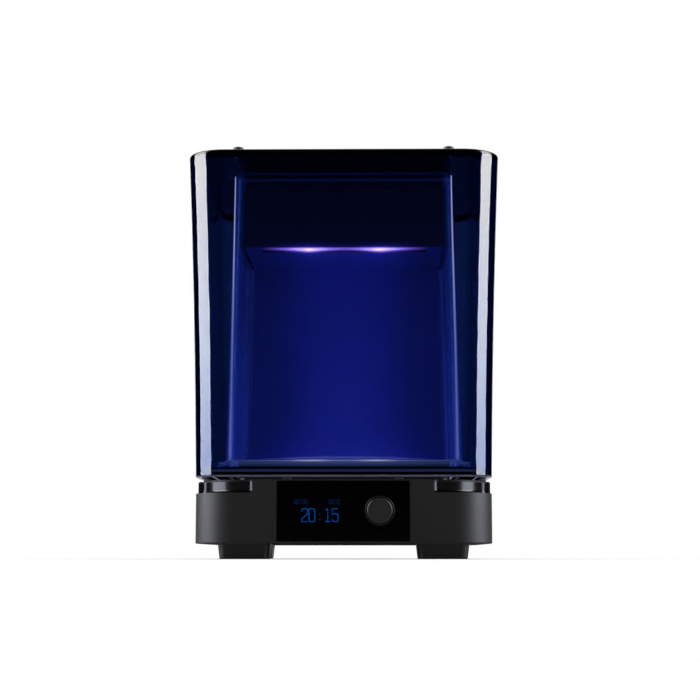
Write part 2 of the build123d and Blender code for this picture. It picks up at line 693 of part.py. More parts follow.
with BuildPart() as turntable_bearing:
    with BuildSketch(Plane.XY.offset(BASE_TOP)):
        with Locations((0, TURNTABLE_Y)):
            Circle(BEARING_R)
    extrude(amount=POCKET_FLOOR - BASE_TOP)
    with BuildSketch(Plane.XY.offset(POCKET_FLOOR)):
        with Locations((0, TURNTABLE_Y)):
            Circle(BEARING_FLANGE_R)
    extrude(amount=BEARING_FLANGE)
    with BuildSketch(Plane.XY.offset(BASE_TOP)):
        with Locations((0, TURNTABLE_Y)):
            Circle(HUB_STEM_R + RUNNING_FIT)
    extrude(amount=DECK_HEIGHT, mode=Mode.SUBTRACT)
keep("turntable_bearing", turntable_bearing.part)

with BuildPart() as turntable_disc:
    with BuildSketch(TURN_AXIS):
        with Locations((0, TURNTABLE_Y)):
            Circle(TURNTABLE_R)
    extrude(amount=DISC_THICKNESS)
    fillet(turntable_disc.faces().sort_by(Axis.Z)[-1].edges(), DISC_EDGE_R)
keep("turntable_disc", turntable_disc.part)

SHAFT_TOP = BRACKET_BOTTOM - MOTOR_SHAFT_SEAT + MOTOR_SHAFT_LENGTH

with BuildPart() as turntable_hub:
    with BuildSketch(TURN_AXIS):
        with Locations((0, TURNTABLE_Y)):
            Circle(HUB_FLANGE_R)
    extrude(amount=-HUB_FLANGE)
    with BuildSketch(TURN_AXIS.offset(-HUB_FLANGE)):
        with Locations((0, TURNTABLE_Y)):
            Circle(HUB_STEM_R)
    extrude(amount=BASE_TOP - DECK_TOP - DISC_GAP + HUB_FLANGE)
    with BuildSketch(Plane.XY.offset(BASE_TOP)):
        with Locations((0, TURNTABLE_Y)):
            Circle(MOTOR_SHAFT_R)
    extrude(amount=SHAFT_TOP - BASE_TOP, mode=Mode.SUBTRACT)
keep("turntable_hub", turntable_hub.part)

with BuildPart() as motor_shaft:
    with BuildSketch(Plane.XY.offset(SHAFT_TOP - MOTOR_SHAFT_LENGTH)):
        with Locations((0, TURNTABLE_Y)):
            Circle(MOTOR_SHAFT_R)
    extrude(amount=MOTOR_SHAFT_LENGTH)
keep("motor_shaft", motor_shaft.part)

with BuildPart() as drive_motor:
    with BuildSketch(Plane.XY.offset(MOTOR_BOTTOM)):
        with Locations((0, TURNTABLE_Y)):
            Circle(MOTOR_R)
    extrude(amount=MOTOR_HEIGHT)
    fillet(drive_motor.faces().sort_by(Axis.Z)[0].edges(), MOTOR_EDGE_R)
    with BuildSketch(Plane.XY.offset(BRACKET_BOTTOM)):
        with Locations((0, TURNTABLE_Y)):
            Circle(MOTOR_NOSE_R)
    extrude(amount=BRACKET_THICKNESS)
    with BuildSketch(Plane.XY.offset(BRACKET_BOTTOM + BRACKET_THICKNESS)):
        with Locations((0, TURNTABLE_Y)):
            Circle(MOTOR_SHAFT_R + RUNNING_FIT)
    extrude(amount=-BRACKET_THICKNESS - MOTOR_SHAFT_SEAT - MOTOR_BORE_FLOOR, mode=Mode.SUBTRACT)
keep("drive_motor", drive_motor.part)

with BuildPart() as motor_bracket:
    with BuildSketch(Plane.XY.offset(BRACKET_BOTTOM)):
        with Locations((0, TURNTABLE_Y)):
            RectangleRounded(BRACKET_WIDTH, BRACKET_DEPTH, BRACKET_CORNER_R)
            Circle(MOTOR_NOSE_R, mode=Mode.SUBTRACT)
    extrude(amount=BRACKET_THICKNESS)
keep("motor_bracket", motor_bracket.part)

# ---------------------------------------------------------------- lamp tower
def tower_profile(inset, open_by):
    """Corners of the tower's side view: an upright with the lamp head reaching forwards."""
    return [
        (REFLECTOR_Y - open_by, DECK_TOP - open_by),
        (TOWER_BACK - inset, DECK_TOP - open_by),
        (TOWER_BACK - inset, HEAD_TOP - inset),
        (HEAD_FRONT + inset, HEAD_TOP - inset),
        (HEAD_FRONT + inset, HEAD_BOTTOM - open_by),
        (REFLECTOR_Y - open_by, HEAD_BOTTOM - open_by),
    ]


def tower_sides(inset):
    """Corners of the tower's front view, which keeps its gap to the drafted box."""
    draft = tan(radians(BOX_DRAFT))
    foot = DECK_TOP - CUT_MARGIN
    half_top = BOX_WIDTH / 2 - BOX_WALL - TOWER_GAP - inset - (HEAD_TOP - BOX_BOTTOM - BOX_FLANGE) * draft
    half_foot = half_top + (HEAD_TOP - foot) * draft
    return [(-half_foot, foot), (half_foot, foot), (half_top, HEAD_TOP), (-half_top, HEAD_TOP)]


with BuildPart() as tower_outside:
    with BuildSketch(Plane.XZ):
        Polygon(*tower_sides(0), align=None)
    extrude(amount=BOX_DEPTH, both=True)

with BuildPart() as tower_inside:
    with BuildSketch(Plane.XZ):
        Polygon(*tower_sides(TOWER_WALL), align=None)
    extrude(amount=BOX_DEPTH, both=True)

with BuildPart() as tower_hollow:
    with BuildSketch(Plane.YZ):
        Polygon(*tower_profile(TOWER_WALL, CUT_MARGIN / 2), align=None)
    extrude(amount=BOX_WIDTH, both=True)
    add(tower_inside.part, mode=Mode.INTERSECT)

with BuildPart() as tower_shell:
    with BuildSketch(Plane.YZ):
        Polygon(*tower_profile(0, 0), align=None)
    extrude(amount=BOX_WIDTH, both=True)
    add(tower_outside.part, mode=Mode.INTERSECT)
    fillet(tower_shell.faces().sort_by(Axis.Z)[-1].edges(), HEAD_EDGE_R)
    add(tower_hollow.part, mode=Mode.SUBTRACT)
keep("tower_shell", tower_shell.part)

with BuildPart() as back_reflector:
    with BuildSketch(Plane.XZ.offset(-REFLECTOR_Y - REFLECTOR_THICKNESS)):
        with Locations((0, (DECK_TOP + HEAD_BOTTOM) / 2)):
            Rectangle(BOX_WIDTH, CHAMBER_HEIGHT)
    extrude(amount=REFLECTOR_THICKNESS)
    add(tower_inside.part, mode=Mode.INTERSECT)
keep("back_reflector", back_reflector.part)

with BuildPart() as ceiling_reflector:
    with BuildSketch(Plane.XY.offset(HEAD_BOTTOM)):
        with Locations((0, HEAD_FRONT + TOWER_WALL)):
            Rectangle(BOX_WIDTH, REFLECTOR_Y - HEAD_FRONT - TOWER_WALL, align=(Align.CENTER, Align.MIN))
        with Locations((0, LENS_Y)):
            Rectangle(LENS_LENGTH, 2 * LENS_R, mode=Mode.SUBTRACT)
    extrude(amount=CEILING_THICKNESS)
    add(tower_inside.part, mode=Mode.INTERSECT)
keep("ceiling_reflector", ceiling_reflector.part)

with BuildPart() as led_lens:
    with BuildSketch(Plane.YZ.offset(-LENS_LENGTH / 2)):
        with Locations((LENS_Y, CEILING_TOP)):
            Circle(LENS_R)
            Rectangle(4 * LENS_R, 2 * LENS_R, align=(Align.CENTER, Align.MIN), mode=Mode.SUBTRACT)
    extrude(amount=LENS_LENGTH)
    with BuildSketch(Plane.XY.offset(CEILING_TOP)):
        with Locations((0, LENS_Y)):
            Rectangle(LENS_LENGTH + 2 * LENS_FLANGE_RIM, 2 * (LENS_R + LENS_FLANGE_RIM))
    extrude(amount=LENS_FLANGE)
keep("led_lens", led_lens.part)

with BuildPart() as led_emitters:
    with BuildSketch(Plane.XY.offset(EMITTER_BOTTOM)):
        with Locations((-EMITTER_X, LENS_Y), (EMITTER_X, LENS_Y)):
            RectangleRounded(EMITTER_SIZE, EMITTER_SIZE, EMITTER_CORNER_R)
    extrude(amount=EMITTER_HEIGHT)
keep("led_emitters", led_emitters.part)

with BuildPart() as led_board:
    with BuildSketch(Plane.XY.offset(LED_BOARD_BOTTOM)):
        with Locations((0, LENS_Y)):
            Rectangle(LENS_LENGTH, 2 * LENS_R + LENS_FLANGE_RIM)
    extrude(amount=BOARD_THICKNESS)
keep("led_board", led_board.part)

with BuildPart() as led_heatsink:
    with BuildSketch(Plane.XY.offset(HEATSINK_BOTTOM)):
        with Locations((0, HEATSINK_Y)):
            Rectangle(HEATSINK_WIDTH, HEATSINK_DEPTH)
    extrude(amount=HEATSINK_BASE)
    with BuildSketch(Plane.XY.offset(HEATSINK_BOTTOM + HEATSINK_BASE)):
        with Locations((0, HEATSINK_Y)):
            with GridLocations(FIN_PITCH, 0, FIN_COUNT, 1):
                Rectangle(FIN_THICKNESS, HEATSINK_DEPTH)
    extrude(amount=HEATSINK_TOP - HEATSINK_BOTTOM - HEATSINK_BASE)
keep("led_heatsink", led_heatsink.part)

with BuildPart() as tower_spine:
    with BuildSketch(Plane.XY.offset(BASE_TOP)):
        with Locations((0, SPINE_BACK)):
            Rectangle(SPINE_WIDTH, SPINE_DEPTH, align=(Align.CENTER, Align.MAX))
        with Locations((0, SPINE_BACK - SPINE_SHEET)):
            Rectangle(SPINE_INSIDE, SPINE_DEPTH, align=(Align.CENTER, Align.MAX), mode=Mode.SUBTRACT)
    extrude(amount=ARM_TOP - BASE_TOP)
    with BuildSketch(Plane.XY.offset(BASE_TOP)):
        with Locations((0, SPINE_BACK)):
            Rectangle(SPINE_WIDTH, SPINE_FOOT, align=(Align.CENTER, Align.MAX))
    extrude(amount=SPINE_SHEET)
    with BuildSketch(Plane.XY.offset(ARM_BOTTOM)):
        with Locations((0, SPINE_BACK)):
            Rectangle(SPINE_ARM_WIDTH, SPINE_ARM_LENGTH, align=(Align.CENTER, Align.MAX))
    extrude(amount=SPINE_SHEET)
keep("tower_spine", tower_spine.part)

with BuildPart() as heater_pad:
    with BuildSketch(Plane.XZ.offset(-REFLECTOR_Y - REFLECTOR_THICKNESS - HEATER_THICKNESS)):
        with Locations((0, (DECK_TOP + HEAD_BOTTOM) / 2)):
            RectangleRounded(HEATER_WIDTH, CHAMBER_HEIGHT - 2 * HEATER_MARGIN, HEATER_CORNER_R)
    extrude(amount=HEATER_THICKNESS)
keep("heater_pad", heater_pad.part)

# ---------------------------------------------------------------- hood
with BuildPart() as hood_sleeve:
    add(sleeve_block(0, RIM_EDGE_R))
    add(sleeve_block(SLEEVE_WALL, 0), mode=Mode.SUBTRACT)
keep("hood_sleeve", hood_sleeve.part)

TOP_WIDTH = HOOD_WIDTH + 2 * HOOD_FLARE
TOP_DEPTH = HOOD_DEPTH + 2 * HOOD_FLARE
TOP_CORNER_R = HOOD_CORNER_R + HOOD_CORNER_GROWTH
RIB_INSET = SLEEVE_WALL + TOP_RIB_GAP

with BuildPart() as hood_top:
    with BuildSketch(Plane.XY.offset(SLEEVE_TOP)):
        RectangleRounded(TOP_WIDTH, TOP_DEPTH, TOP_CORNER_R)
    extrude(amount=TOP_PLATE)
    fillet(hood_top.faces().sort_by(Axis.Z)[-1].edges(), TOP_EDGE_R)
    with BuildSketch(Plane.XY.offset(SLEEVE_TOP)):
        ring(TOP_WIDTH - 2 * RIB_INSET, TOP_DEPTH - 2 * RIB_INSET, TOP_CORNER_R - RIB_INSET, TOP_RIB_WALL)
    extrude(amount=-TOP_RIB)
keep("hood_top", hood_top.part)

with BuildPart() as top_bumpers:
    with BuildSketch(Plane.XY.offset(HOOD_TOP)):
        with GridLocations(TOP_WIDTH - 2 * BUMPER_SIDE_SETBACK, TOP_DEPTH - 2 * BUMPER_SETBACK, 2, 2):
            Circle(BUMPER_R)
    extrude(amount=BUMPER_HEIGHT)
    fillet(top_bumpers.faces().group_by(Axis.Z)[-1].edges(), BUMPER_EDGE_R)
keep("top_bumpers", top_bumpers.part)

FLANGE_WIDTH = BOX_WIDTH + 2 * BOX_FLANGE_REACH
FLANGE_DEPTH = BOX_DEPTH + 2 * BOX_FLANGE_REACH

box_outside = box_block(0, BOX_BOTTOM, BOX_TOP)
box_inside = box_block(BOX_WALL, BOX_BOTTOM, BOX_TOP - BOX_WALL)

with BuildPart() as inner_box:
    add(box_outside)
    fillet(inner_box.faces().sort_by(Axis.Z)[-1].edges(), BOX_TOP_R)
    with BuildSketch(Plane.XY.offset(BOX_BOTTOM)):
        RectangleRounded(FLANGE_WIDTH, FLANGE_DEPTH, BOX_FLANGE_R)
    extrude(amount=BOX_FLANGE)
    flange_face = inner_box.faces().filter_by(Axis.Z).group_by(Axis.Z)[1][0]
    fillet(flange_face.inner_wires().edges(), BOX_FOOT_R)
    add(box_inside, mode=Mode.SUBTRACT)
keep("inner_box", inner_box.part)

STUD_SPREAD = BOX_DEPTH - 2 * STUD_SETBACK - 2 * BOX_HEIGHT * tan(radians(BOX_DRAFT))

with BuildPart() as box_studs:
    with BuildSketch(Plane.XY.offset(BOX_TOP)):
        with GridLocations(BOX_WIDTH - 2 * STUD_SIDE_SETBACK, STUD_SPREAD, 2, 2):
            Circle(STUD_R)
    extrude(amount=STUD_HEIGHT)
    fillet(box_studs.faces().group_by(Axis.Z)[-1].edges(), STUD_EDGE_R)
keep("box_studs", box_studs.part)

FRAME_OUT_WIDTH = HOOD_WIDTH - 2 * SLEEVE_WALL
FRAME_OUT_DEPTH = HOOD_DEPTH - 2 * SLEEVE_WALL
# the frame opens as far as the box does, so that both pass over the deck and the tower
FRAME_IN_WIDTH = BOX_WIDTH - 2 * BOX_WALL
FRAME_IN_DEPTH = BOX_DEPTH - 2 * BOX_WALL
FRAME_IN_R = BOX_CORNER_R - BOX_WALL
MAGNET_Y = (FRAME_IN_DEPTH + FRAME_OUT_DEPTH) / 4

with BuildPart() as flange_gasket:
    with BuildSketch(Plane.XY.offset(SHELF_TOP)):
        ring(
            FLANGE_WIDTH - 2 * GASKET_INSET, FLANGE_DEPTH - 2 * GASKET_INSET,
            BOX_FLANGE_R - GASKET_INSET, GASKET_WIDTH,
        )
    extrude(amount=GASKET)
keep("flange_gasket", flange_gasket.part)

with BuildPart() as hood_frame:
    with BuildSketch(Plane.XY.offset(SHELF_BOTTOM)):
        RectangleRounded(FRAME_OUT_WIDTH, FRAME_OUT_DEPTH, HOOD_CORNER_R - SLEEVE_WALL)
        RectangleRounded(FRAME_IN_WIDTH, FRAME_IN_DEPTH, FRAME_IN_R, mode=Mode.SUBTRACT)
        with Locations((0, MAGNET_Y)):
            Circle(MAGNET_R + RUNNING_FIT, mode=Mode.SUBTRACT)
    extrude(amount=FRAME_SHELF)
    with BuildSketch(Plane.XY.offset(FRAME_BOTTOM)):
        ring(
            FRAME_IN_WIDTH + 2 * FRAME_WALL, FRAME_IN_DEPTH + 2 * FRAME_WALL,
            FRAME_IN_R + FRAME_WALL, FRAME_WALL,
        )
    extrude(amount=FRAME_SKIRT)
keep("hood_frame", hood_frame.part)

with BuildPart() as rim_gasket:
    with BuildSketch(Plane.XY.offset(SHELF_BOTTOM)):
        ring(FRAME_OUT_WIDTH, FRAME_OUT_DEPTH, HOOD_CORNER_R - SLEEVE_WALL, RIM_GASKET_WIDTH)
    extrude(amount=-FRAME_SKIRT)
keep("rim_gasket", rim_gasket.part)

with BuildPart() as rim_pads:
    with BuildSketch(Plane.XY.offset(BASE_TOP)):
        with GridLocations(2 * FRONT_PAD_X, HOOD_DEPTH - PAD_WIDTH - 2 * BASE_TOP_EDGE_R, 2, 2):
            RectangleRounded(PAD_LENGTH, PAD_WIDTH, PAD_CORNER_R)
        with GridLocations(HOOD_WIDTH - PAD_WIDTH - 2 * BASE_TOP_EDGE_R, 2 * SIDE_PAD_Y, 2, 2):
            RectangleRounded(PAD_WIDTH, PAD_LENGTH, PAD_CORNER_R)
    extrude(amount=PAD_HEIGHT)
keep("rim_pads", rim_pads.part)

# the magnet is let into the shelf, above the sensor
with BuildPart() as hood_magnet:
    with BuildSketch(Plane.XY.offset(SHELF_BOTTOM)):
        with Locations((0, MAGNET_Y)):
            Circle(MAGNET_R)
    extrude(amount=FRAME_SHELF)
keep("hood_magnet", hood_magnet.part)

with BuildPart() as reed_sensor:
    with BuildSketch(Plane.XY.offset(CEILING_IN_BASE)):
        with Locations((0, MAGNET_Y)):
            Rectangle(SENSOR_LENGTH, SENSOR_WIDTH)
    extrude(amount=-SENSOR_HEIGHT)
keep("reed_sensor", reed_sensor.part)

# ---------------------------------------------------------------- rear panel
with BuildPart() as power_inlet:
    with BuildSketch(REAR_FACE):
        with Locations((-INLET_X, REAR_Z)):
            RectangleRounded(
                INLET_WIDTH + 2 * INLET_FLANGE_RIM, INLET_HEIGHT + 2 * INLET_FLANGE_RIM, INLET_CORNER_R
            )
    extrude(amount=INLET_FLANGE)
    with BuildSketch(REAR_FACE):
        with Locations((-INLET_X, REAR_Z)):
            Rectangle(INLET_WIDTH, INLET_HEIGHT)
    extrude(amount=-INLET_LENGTH)
    with BuildSketch(REAR_FACE.offset(INLET_FLANGE)) as socket_plan:
        with Locations((-INLET_X, REAR_Z)):
            Rectangle(INLET_WIDTH - 2 * INLET_WALL, INLET_HEIGHT - 2 * INLET_WALL)
        chamfer(socket_plan.vertices().group_by(Axis.Z)[-1], INLET_KEY)
    extrude(amount=-INLET_CAVITY, mode=Mode.SUBTRACT)
keep("power_inlet", power_inlet.part)

# the earth pin stands half a pin above the other two
EARTH_PIN_Z = REAR_Z + PIN_RISE
LOW_PIN_Z = EARTH_PIN_Z - PIN_HEIGHT / 2
PIN_PLACES = [
    (-INLET_X - PIN_PITCH, LOW_PIN_Z),
    (-INLET_X + PIN_PITCH, LOW_PIN_Z),
    (-INLET_X, EARTH_PIN_Z),
]

with BuildPart() as inlet_pins:
    with BuildSketch(REAR_FACE.offset(INLET_FLANGE - INLET_CAVITY)):
        with Locations(*PIN_PLACES):
            Rectangle(PIN_WIDTH, PIN_HEIGHT)
    extrude(amount=PIN_LENGTH)
keep("inlet_pins", inlet_pins.part)

ROCKER_PLANE = Plane(origin=(SWITCH_X, BACK - ROCKER_SINK, REAR_Z), x_dir=(0, 1, 0), z_dir=(1, 0, 0))
ROCKER_PIN_HALF = ROCKER_WIDTH / 2 + ROCKER_GAP + ROCKER_PIN_REACH

with BuildPart() as switch_body:
    with BuildSketch(REAR_FACE):
        with Locations((-SWITCH_X, REAR_Z)):
            RectangleRounded(
                SWITCH_WIDTH + 2 * SWITCH_RIM, SWITCH_HEIGHT + 2 * SWITCH_RIM, SWITCH_CORNER_R
            )
    extrude(amount=SWITCH_FLANGE)
    with BuildSketch(REAR_FACE):
        with Locations((-SWITCH_X, REAR_Z)):
            Rectangle(SWITCH_WIDTH, SWITCH_HEIGHT)
    extrude(amount=-SWITCH_LENGTH)
    with BuildSketch(REAR_FACE.offset(SWITCH_FLANGE)):
        with Locations((-SWITCH_X, REAR_Z)):
            Rectangle(ROCKER_WIDTH + 2 * ROCKER_GAP, 2 * (ROCKER_HALF + ROCKER_END_GAP))
    extrude(amount=-SWITCH_CAVITY - SWITCH_FLANGE, mode=Mode.SUBTRACT)
    with BuildSketch(ROCKER_PLANE):
        Circle(ROCKER_PIN_R + RUNNING_FIT)
    extrude(amount=ROCKER_PIN_HALF + ROCKER_PIN_END_GAP, both=True, mode=Mode.SUBTRACT)
keep("switch_body", switch_body.part)

ROCKER_OUTLINE = [
    (-ROCKER_DEPTH / 2, -ROCKER_HALF + ROCKER_FOOT_INSET),
    (ROCKER_DEPTH / 2, -ROCKER_HALF),
    (ROCKER_DEPTH / 2 - ROCKER_DIP, 0),
    (ROCKER_DEPTH / 2, ROCKER_HALF),
    (-ROCKER_DEPTH / 2, ROCKER_HALF - ROCKER_FOOT_INSET),
]
with BuildPart() as power_rocker:
    with BuildSketch(ROCKER_PLANE):
        Polygon(*ROCKER_OUTLINE, rotation=ROCKER_TILT, align=None)
    extrude(amount=ROCKER_WIDTH / 2, both=True)
    with BuildSketch(ROCKER_PLANE):
        Circle(ROCKER_PIN_R)
    extrude(amount=ROCKER_PIN_HALF, both=True)
keep("power_rocker", power_rocker.part)

# each strut ends halfway into the frame's thinnest wall
FAN_STRUT_LENGTH = (FAN_BORE_R + FAN_SIZE / 2) / 2

with BuildPart() as fan_frame:
    with BuildSketch(FAN_AXIS):
        RectangleRounded(FAN_SIZE, FAN_SIZE, FAN_CORNER_R)
        Circle(FAN_BORE_R, mode=Mode.SUBTRACT)
    extrude(amount=-FAN_DEPTH)
    with BuildSketch(FAN_AXIS.offset(-FAN_DEPTH)):
        Circle(FAN_HUB_R)
        with PolarLocations(0, FAN_STRUTS):
            Rectangle(FAN_STRUT_LENGTH, FAN_STRUT_WIDTH, align=(Align.MIN, Align.CENTER))
    extrude(amount=FAN_STRUT_DEPTH)
keep("fan_frame", fan_frame.part)

# one blade on the rotor's own axis: it flattens and widens from the hub to the tip
FAN_TIP_R = FAN_BORE_R - FAN_TIP_GAP
HUB_START = -FAN_DEPTH + FAN_STRUT_DEPTH + FAN_HUB_GAP
BLADE_LEVEL = HUB_START + FAN_HUB_DEPTH / 2
BLADE_SECTIONS = [
    (FAN_HUB_R - FAN_BLADE_SINK, FAN_ROOT_CHORD, FAN_ROOT_PITCH),
    (FAN_TIP_R + FAN_BLADE_SINK, FAN_TIP_CHORD, FAN_TIP_PITCH),
]
with BuildPart() as fan_blade:
    for reach, chord, pitch in BLADE_SECTIONS:
        with BuildSketch(Plane(origin=(reach, 0, BLADE_LEVEL), x_dir=(0, 1, 0), z_dir=(1, 0, 0))):
            Rectangle(chord, FAN_BLADE_THICKNESS, rotation=pitch)
    loft()
    with BuildSketch(Plane.XY.offset(-FAN_DEPTH)):
        Circle(FAN_TIP_R)
    extrude(amount=FAN_DEPTH, mode=Mode.INTERSECT)

with BuildPart() as fan_rotor:
    with BuildSketch(FAN_AXIS.offset(HUB_START)):
        Circle(FAN_HUB_R)
    extrude(amount=FAN_HUB_DEPTH)
    fillet(fan_rotor.faces().sort_by(Axis.Y)[-1].edges(), FAN_HUB_EDGE_R)
    with Locations(FAN_AXIS.location):
        with PolarLocations(0, FAN_BLADES):
            add(fan_blade.part)
keep("fan_rotor", fan_rotor.part)

with BuildPart() as vent_grille:
    with BuildSketch(REAR_FACE):
        with Locations((-FAN_X, REAR_Z)):
            RectangleRounded(GRILLE_SIZE, GRILLE_SIZE, GRILLE_RIM)
            with GridLocations(0, GRILLE_PITCH, 1, GRILLE_SLOTS):
                SlotOverall(GRILLE_SIZE - 2 * GRILLE_BORDER, GRILLE_SLOT, mode=Mode.SUBTRACT)
    extrude(amount=-GRILLE_THICKNESS)
keep("vent_grille", vent_grille.part)

# ---------------------------------------------------------------- electronics in the base
with BuildPart() as power_supply:
    with BuildSketch(Plane.XY.offset(PLATE_TOP)):
        with Locations((SUPPLY_X, 0)):
            Rectangle(SUPPLY_WIDTH, SUPPLY_DEPTH)
    extrude(amount=SUPPLY_HEIGHT)
    fillet(power_supply.edges().filter_by(Axis.Z), SUPPLY_CORNER_R)
keep("power_supply", power_supply.part)

with BuildPart() as main_board:
    with BuildSketch(Plane.XY.offset(PLATE_TOP + STANDOFF_HEIGHT)):
        with Locations((MAIN_BOARD_X, 0)):
            Rectangle(MAIN_BOARD_WIDTH, MAIN_BOARD_DEPTH)
    extrude(amount=BOARD_THICKNESS)
    with BuildSketch(Plane.XY.offset(PLATE_TOP + STANDOFF_HEIGHT + BOARD_THICKNESS)):
        with Locations((MAIN_BOARD_X - CHIP_X, CHIP_Y), (MAIN_BOARD_X + CHIP_X, CHIP_Y)):
            Rectangle(CHIP_SIZE, CHIP_SIZE)
        with Locations((MAIN_BOARD_X, CONNECTOR_Y)):
            Rectangle(CONNECTOR_LENGTH, CONNECTOR_WIDTH)
    extrude(amount=CHIP_HEIGHT)
keep("main_board", main_board.part)

with BuildPart() as board_standoffs:
    with BuildSketch(Plane.XY.offset(PLATE_TOP)):
        with Locations((MAIN_BOARD_X, 0)):
            with GridLocations(
                MAIN_BOARD_WIDTH - 2 * STANDOFF_INSET, MAIN_BOARD_DEPTH - 2 * STANDOFF_INSET, 2, 2
            ):
                Circle(STANDOFF_R)
    extrude(amount=STANDOFF_HEIGHT)
keep("board_standoffs", board_standoffs.part)

everything = Compound(children=list(pieces.values()))
box = everything.bounding_box()
print(len(pieces), "pieces;", "low", box.min, "high", box.max)
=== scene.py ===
"""Looks of the light curing unit: materials, display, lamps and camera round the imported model. Metres."""

import json
import math

import bpy
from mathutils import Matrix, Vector


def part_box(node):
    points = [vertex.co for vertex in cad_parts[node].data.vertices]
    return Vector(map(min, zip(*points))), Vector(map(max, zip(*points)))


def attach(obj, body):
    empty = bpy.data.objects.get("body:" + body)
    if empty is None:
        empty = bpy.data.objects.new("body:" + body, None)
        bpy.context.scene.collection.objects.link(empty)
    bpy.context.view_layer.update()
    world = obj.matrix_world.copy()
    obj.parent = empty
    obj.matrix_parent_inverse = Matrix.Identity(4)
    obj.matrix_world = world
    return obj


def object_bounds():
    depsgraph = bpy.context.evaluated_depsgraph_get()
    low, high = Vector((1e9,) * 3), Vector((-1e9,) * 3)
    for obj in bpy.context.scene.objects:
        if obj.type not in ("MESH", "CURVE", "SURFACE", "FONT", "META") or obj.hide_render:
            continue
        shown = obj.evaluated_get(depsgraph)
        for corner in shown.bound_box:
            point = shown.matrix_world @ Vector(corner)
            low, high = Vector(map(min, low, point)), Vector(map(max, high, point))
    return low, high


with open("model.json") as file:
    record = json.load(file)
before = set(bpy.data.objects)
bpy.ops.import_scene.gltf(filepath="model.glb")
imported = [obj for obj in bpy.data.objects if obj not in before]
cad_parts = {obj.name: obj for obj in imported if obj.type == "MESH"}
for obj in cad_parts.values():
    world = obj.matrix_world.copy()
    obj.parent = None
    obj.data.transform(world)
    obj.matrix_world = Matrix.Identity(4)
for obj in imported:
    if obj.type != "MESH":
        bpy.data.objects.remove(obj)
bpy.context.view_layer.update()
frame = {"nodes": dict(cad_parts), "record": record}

# ---------------------------------------------------------------- places taken from the frame
OBJECT_LOW, OBJECT_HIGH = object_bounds()
DISPLAY_LOW, DISPLAY_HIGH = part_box("display_module")
EMITTER_LOW, EMITTER_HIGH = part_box("led_emitters")
LENS_LOW, LENS_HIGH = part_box("led_lens")
LENS_CENTRE = (LENS_LOW + LENS_HIGH) / 2
PANEL_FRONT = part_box("control_panel")[0].y
TOWER_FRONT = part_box("tower_shell")[0].y
DECK_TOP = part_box("deck_plate")[1].z
DISC_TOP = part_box("turntable_disc")[1].z
BOX_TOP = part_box("inner_box")[1].z
SLEEVE_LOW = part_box("hood_sleeve")[0].z
# the two lamps are mirror images about the middle, and each is as wide as it is deep
LAMP_X = ((EMITTER_HIGH.x - EMITTER_LOW.x) - (EMITTER_HIGH.y - EMITTER_LOW.y)) / 2

# ---------------------------------------------------------------- camera
LENS_MM = 82.08
SENSOR_MM = 36.0
CAMERA_PLACE = (0.020, -1.320, 0.003)
# degrees: upwards from level, and to the left
CAMERA_TILT = 7.32
CAMERA_YAW = 0.71
CLIP_NEAR = 0.05
CLIP_FAR = 50.0


def make_camera():
    """The photograph's view: nearly level with the table, tilted up a little."""
    data = bpy.data.cameras.new("camera")
    data.lens = LENS_MM
    data.sensor_width = SENSOR_MM
    data.clip_start = CLIP_NEAR
    data.clip_end = CLIP_FAR
    camera = bpy.data.objects.new("camera", data)
    bpy.context.scene.collection.objects.link(camera)
    camera.location = CAMERA_PLACE
    camera.rotation_euler = (math.radians(90 + CAMERA_TILT), 0, math.radians(CAMERA_YAW))
    bpy.context.scene.camera = camera


# ---------------------------------------------------------------- nodes
def node(tree, kind, **values):
    """A node of that kind with its properties and unlinked inputs set."""
    made = tree.nodes.new(kind)
    for key, value in values.items():
        if hasattr(made, key):
            setattr(made, key, value)
        else:
            made.inputs[key.replace("_", " ")].default_value = value
    return made


class Value:
    """A number that nodes work out over the surface. Sums with it add Math nodes."""

    def __init__(self, tree, socket):
        self.tree = tree
        self.socket = socket

    def __add__(self, other):
        return compute("ADD", self, other)

    def __sub__(self, other):
        return compute("SUBTRACT", self, other)

    def __rsub__(self, other):
        return compute("SUBTRACT", other, self)

    def __mul__(self, other):
        return compute("MULTIPLY", self, other)

    def __truediv__(self, other):
        return compute("DIVIDE", self, other)

    def __pow__(self, other):
        return compute("POWER", self, other)

    def __abs__(self):
        return compute("ABSOLUTE", self)


def compute(operation, *values, clamp=False):
    """One Math node with numbers or values, at least one of them a value."""
    tree = next(value.tree for value in values if isinstance(value, Value))
    made = node(tree, "ShaderNodeMath", operation=operation)
    made.use_clamp = clamp
    for index, value in enumerate(values):
        if isinstance(value, Value):
            tree.links.new(value.socket, made.inputs[index])
        else:
            made.inputs[index].default_value = value
    return Value(tree, made.outputs[0])


def split(tree, vector):
    """The vector's three numbers."""
    made = node(tree, "ShaderNodeSeparateXYZ")
    tree.links.new(vector, made.inputs[0])
    return [Value(tree, socket) for socket in made.outputs]


def object_point(tree):
    """The point on the object as a vector, in metres."""
    return node(tree, "ShaderNodeTexCoord").outputs["Object"]


def place(tree):
    """The point's x, y and z on the object, in metres."""
    return split(tree, object_point(tree))


def facing(tree):
    """The surface's direction as its shares along x, y and z."""
    return split(tree, node(tree, "ShaderNodeNewGeometry").outputs["Normal"])


def ray_kinds(tree, *names):
    """For each name, 1 where the ray is of that kind."""
    path = node(tree, "ShaderNodeLightPath")
    return [Value(tree, path.outputs[name]) for name in names]


def rise(value, span):
    """0 at the span's first number and beyond it, 1 at its second and beyond, smooth between."""
    start, full = span
    made = node(value.tree, "ShaderNodeMapRange", interpolation_type="SMOOTHSTEP",
                From_Min=min(start, full), From_Max=max(start, full),
                To_Min=0.0 if start < full else 1.0, To_Max=1.0 if start < full else 0.0)
    value.tree.links.new(value.socket, made.inputs["Value"])
    return Value(value.tree, made.outputs["Result"])


